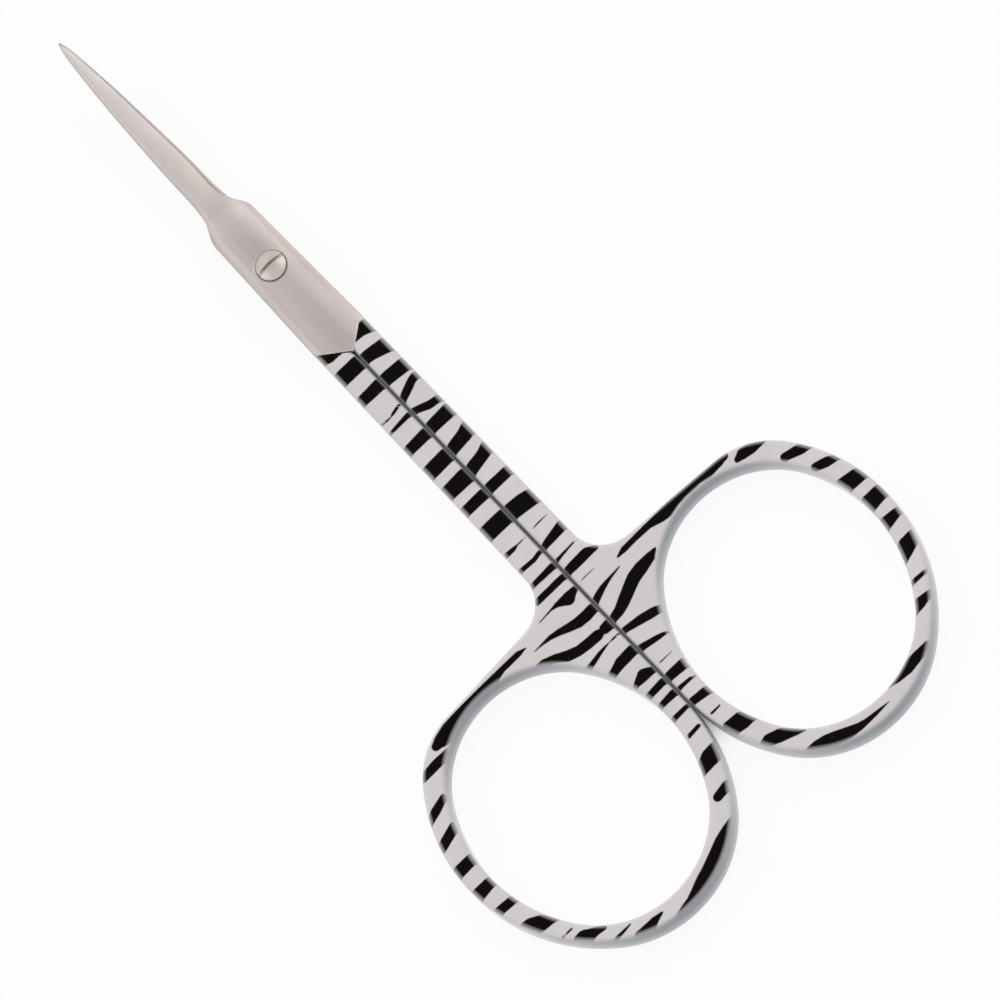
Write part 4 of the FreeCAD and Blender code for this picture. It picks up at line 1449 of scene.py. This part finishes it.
@dataclass(frozen=True)
class SoftRim:
    """A circular rim about the pivot that is rounded off as geometry.

    Attributes:
        radius: The rim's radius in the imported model.
        shown: The radius that its wall takes here.
        height: The rim's height over the underside.
        width: How far the rounding reaches.
        wall_slack: How far off the radius a point of the wall may lie.
        rim_slack: How far off the height a point of the rim may lie.
        segments: The steps of the rounding.
    """

    radius: float
    shown: float
    height: float
    width: float
    wall_slack: float = 0.02
    rim_slack: float = 0.01
    segments: int = 4

    def on_wall(self, vertex: bmesh.types.BMVert, radius: float) -> bool:
        """Tell whether a point lies at a radius from the pivot."""
        off = math.hypot(vertex.co.x, vertex.co.y) - radius * MM
        return abs(off) < self.wall_slack * MM

    def on_rim(self, vertex: bmesh.types.BMVert) -> bool:
        """Tell whether a point lies on the rim itself."""
        level = abs(vertex.co.z - self.height * MM) < self.rim_slack * MM
        return level and self.on_wall(vertex, self.shown)

    def soften(self, shape: bmesh.types.BMesh) -> None:
        """Draw the wall to the radius that is shown and round its rim off.

        Args:
            shape: The piece's mesh.
        """
        for vertex in shape.verts:
            if self.on_wall(vertex, self.radius):
                vertex.co.xy *= self.shown / self.radius
        rim = [edge for edge in shape.edges if all(self.on_rim(end) for end in edge.verts)]
        LOG.info("rim of %.3f mm: %d edges", self.radius, len(rim))
        rounding = {"offset": self.width * MM, "segments": self.segments, "profile": 0.5}
        bmesh.ops.bevel(shape, geom=rim, affect="EDGES", **rounding)


@dataclass
class SteelPiece:
    """A steel piece that keeps its CAD shape, with smooth shading where it curves.

    Attributes:
        node: The node that it replaces.
        body: The body that it rides.
        soft_rims: The rims that are rounded off.
        sharp_degrees: The bend from which an edge stays sharp.
        same_spot: How near to each other two points are one, in metres.
    """

    node: str
    body: str
    soft_rims: tuple[SoftRim, ...] = ()
    sharp_degrees: float = 24.0
    same_spot: float = 2e-7

    def build(self, finish: bpy.types.Material) -> bpy.types.Object:
        """Copy the node with its points joined and dress it.

        Args:
            finish: The steel.

        Returns:
            The piece that stands for the node.
        """
        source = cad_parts[self.node]
        shape = bmesh.new()
        shape.from_mesh(source.data)
        bmesh.ops.remove_doubles(shape, verts=shape.verts, dist=self.same_spot)
        for rim in self.soft_rims:
            rim.soften(shape)
        for face in shape.faces:
            face.smooth = True
            face.material_index = 0
        sharp = math.radians(self.sharp_degrees)
        for edge in shape.edges:
            edge.smooth = len(edge.link_faces) == 2 and edge.calc_face_angle(0.0) < sharp
        mesh = bpy.data.meshes.new(f"{self.node}_steel")
        shape.to_mesh(mesh)
        shape.free()
        mesh.materials.append(finish)
        piece = new_object(f"{self.node}_steel", mesh)
        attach(piece, self.body)
        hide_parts(self.node)
        return piece


# The studio


@dataclass(frozen=True)
class Lamp:
    """A square soft lamp.

    Attributes:
        name: The lamp's name.
        place: Where it hangs, in metres.
        power: Its power in watts.
        width: Its width in metres.
    """

    name: str
    place: Triple
    power: float
    width: float = 0.60

    def hang(self, target: Vector) -> None:
        """Hang the lamp.

        Args:
            target: The spot that it faces.
        """
        data = bpy.data.lights.new(self.name, "AREA")
        data.shape = "SQUARE"
        data.size = self.width
        data.energy = self.power
        lamp = new_object(self.name, data)
        lamp.location = self.place
        toward = target - Vector(self.place)
        lamp.rotation_euler = toward.to_track_quat("-Z", "Y").to_euler()


@dataclass
class Studio:
    """The pale floor, the soft lights and the camera.

    Attributes:
        lean_degrees: How far the camera leans from upright towards the bows.
        turn_cos: The cosine of the picture's turn about the line of sight.
        turn_sin: The sine of that turn.
        view_width: The picture's width at the object.
        distance: The camera's distance.
        sensor: The width of its sensor.
        clip_range: Its near and its far limit, in metres.
        screw_right: How far right of the picture's middle the screw shows, in pixels.
        screw_up: How far above the middle it shows, in pixels.
        pixels: The picture's width in pixels.
        screw_top: The height of the screw's top.
        floor_reach: Half the floor's width, in metres.
        paper: The floor's colour in the light.
        shadow_reach: How far from the object its shadow on the floor is drawn.
        shadow_band: How open the floor is in full shadow and in none.
        glow: The share of plain white in full shadow and in none.
        sky_level: The level of the light from all round.
        sky_band: The forward share of the directions between which the sky
            rises to its level.
        sky_behind: The sky behind the bows, as a share of its level.
        patch: The colour overhead that the steel mirrors.
        patch_degrees: How far from the camera's direction that colour begins
            and where it is full.
        target: The spot that the lamps face, in metres.
        lamps: The lamps.
    """

    lean_degrees: float = 24.0
    turn_cos: float = 0.6909
    turn_sin: float = 0.7230
    view_width: float = 87.815
    distance: float = 4000.0
    sensor: float = 36.0
    clip_range: Point = (0.1, 40.0)
    screw_right: float = -229.8
    screw_up: float = 235.3
    pixels: float = 1000.0
    screw_top: float = 2.7
    floor_reach: float = 1.5
    paper: Colour = (0.95, 0.95, 0.95, 1.0)
    shadow_reach: float = 6.0
    shadow_band: Point = (0.08, 0.24)
    glow: Point = (0.05, 0.90)
    sky_level: float = 0.88
    sky_band: Point = (-0.7, 0.3)
    sky_behind: float = 0.55
    patch: Colour = (0.76, 0.715, 0.73, 1.0)
    patch_degrees: Point = (37.0, 10.0)
    target: Triple = (-0.022, 0.0, 0.0)
    lamps: tuple[Lamp, ...] = (
        Lamp("lamp_right", (0.05, -0.62, 0.50), 0.82),
        Lamp("lamp_left", (0.10, 0.62, 0.50), 0.60),
        Lamp("lamp_tips", (0.60, 0.05, 0.60), 0.34),
    )

    def build(self) -> None:
        """Build everything round the object."""
        self.floor()
        for lamp in self.lamps:
            lamp.hang(Vector(self.target))
        self.world()
        self.camera()
        bpy.context.scene.view_settings.view_transform = "Standard"

    def camera(self) -> None:
        """Set the camera over the scissors, leaning towards the bows."""
        lean = math.radians(self.lean_degrees)
        forward = Vector((math.cos(lean), 0.0, math.sin(lean)))
        across = Vector((0.0, 1.0, 0.0))
        right = -self.turn_cos * forward - self.turn_sin * across
        up = self.turn_sin * forward - self.turn_cos * across
        back = right.cross(up)
        scale = self.view_width / self.pixels * MM
        screw = Vector((0.0, 0.0, self.screw_top * MM))
        centre = screw - right * self.screw_right * scale - up * self.screw_up * scale
        data = bpy.data.cameras.new("camera")
        data.sensor_width = self.sensor
        data.lens = self.sensor * self.distance / self.view_width
        data.clip_start, data.clip_end = self.clip_range
        camera = new_object("camera", data)
        place = centre + back * self.distance * MM
        rotation = Matrix((right, up, back)).transposed().to_4x4()
        camera.matrix_world = Matrix.Translation(place) @ rotation
        bpy.context.scene.camera = camera

    @staticmethod
    def seen_plainly(tree: Tree) -> Socket:
        """Tell rays that show the backdrop itself from those that only light.

        Args:
            tree: The backdrop's tree.

        Returns:
            1 for a ray that shows the backdrop, otherwise 0.
        """
        rays = tree.add("ShaderNodeLightPath").outputs
        seen = tree.math("MAXIMUM", rays["Is Camera Ray"], rays["Is Glossy Ray"])
        return tree.math("MAXIMUM", seen, rays["Is Transmission Ray"])

    def floor(self) -> None:
        """Lay the white floor."""
        reach = self.floor_reach
        mesh = bpy.data.meshes.new("floor")
        signs = ((-1, -1), (1, -1), (1, 1), (-1, 1))
        corners = [(along * reach, across * reach, 0.0) for along, across in signs]
        mesh.from_pydata(corners, [], [(0, 1, 2, 3)])
        floor = new_object("floor", mesh)
        material = bpy.data.materials.new("floor_white")
        tree = emptied(material)
        paper = tree.add("ShaderNodeBsdfDiffuse", color=self.paper).outputs[0]
        glow = tree.add("ShaderNodeEmission", color=WHITE, strength=1.0).outputs[0]
        reach = self.shadow_reach * MM
        shelter = tree.add("ShaderNodeAmbientOcclusion", {"samples": 12}, distance=reach)
        clear = tree.remap(shelter.outputs["AO"], self.shadow_band, *self.glow)
        share = tree.math("MULTIPLY", self.seen_plainly(tree), clear)
        both = tree.add("ShaderNodeMixShader", in_0=share, in_1=paper, in_2=glow)
        tree.add("ShaderNodeOutputMaterial", in_0=both.outputs[0])
        mesh.materials.append(material)

    def world(self) -> None:
        """Light the scene evenly and show white behind it."""
        world = bpy.data.worlds.new("studio")
        tree = emptied(world)
        toward = tree.add("ShaderNodeTexCoord").outputs["Generated"]
        lean = math.radians(self.lean_degrees)
        middle = (math.sin(lean), 0.0, math.cos(lean))
        facing = tree.vector_math("DOT_PRODUCT", in_0=toward, in_1=middle)[1]
        band = tuple(math.cos(math.radians(degrees)) for degrees in self.patch_degrees)
        shown = tree.mix(tree.remap(facing, band), WHITE, self.patch)
        dim = self.sky_level * self.sky_behind
        level = tree.remap(tree.axis(toward, "X"), self.sky_band, dim, self.sky_level)
        colour = tree.mix(self.seen_plainly(tree), level, shown)
        sky = tree.add("ShaderNodeBackground", color=colour, strength=1.0)
        tree.add("ShaderNodeOutputWorld", in_0=sky.outputs[0])
        bpy.context.scene.world = world


def main() -> None:
    """Build the scissors and the studio."""
    logging.basicConfig(level=logging.INFO, format="%(name)s: %(message)s")
    effects = SurfaceEffects()
    blade_steel = SteelFinish(
        name="blade_steel",
        base=srgb(203, 195, 191),
        bright=srgb(226, 221, 217),
        roughness=0.30,
        stretch=(350.0, 9000.0, 9000.0),
        relief=0.20,
        softness=0.36,
        tones=PaintedSteelShading(),
    ).build(effects)
    screw_steel = SteelFinish(
        name="screw_steel",
        base=srgb(202, 193, 189),
        bright=srgb(218, 210, 206),
        roughness=0.34,
        stretch=(6000.0, 900.0, 6000.0),
        relief=0.25,
        softness=0.12,
        crevice=0.10,
    ).build(effects)
    lacquer = LacquerFinish().build(effects)
    skin_tree = build_rounded_skin()
    recess = SoftRim(radius=1.56, shown=1.435, height=2.50, width=0.10)
    head = SoftRim(radius=1.425, shown=1.425, height=2.60, width=0.06)
    pieces = [
        SteelPiece("lower_half", "lower").build(blade_steel),
        SteelPiece("upper_half", "upper", (recess,)).build(blade_steel),
        SteelPiece("pivot_screw", "lower", (head,)).build(screw_steel),
        HandleCoat(Side.LOWER, LOWER_STROKES).build(skin_tree, lacquer),
        HandleCoat(Side.UPPER, UPPER_STROKES).build(skin_tree, lacquer),
    ]
    for piece in pieces:
        LOG.info("%s: %d faces", piece.name, len(piece.data.polygons))
    Studio().build()


if __name__ == "__main__":
    main()
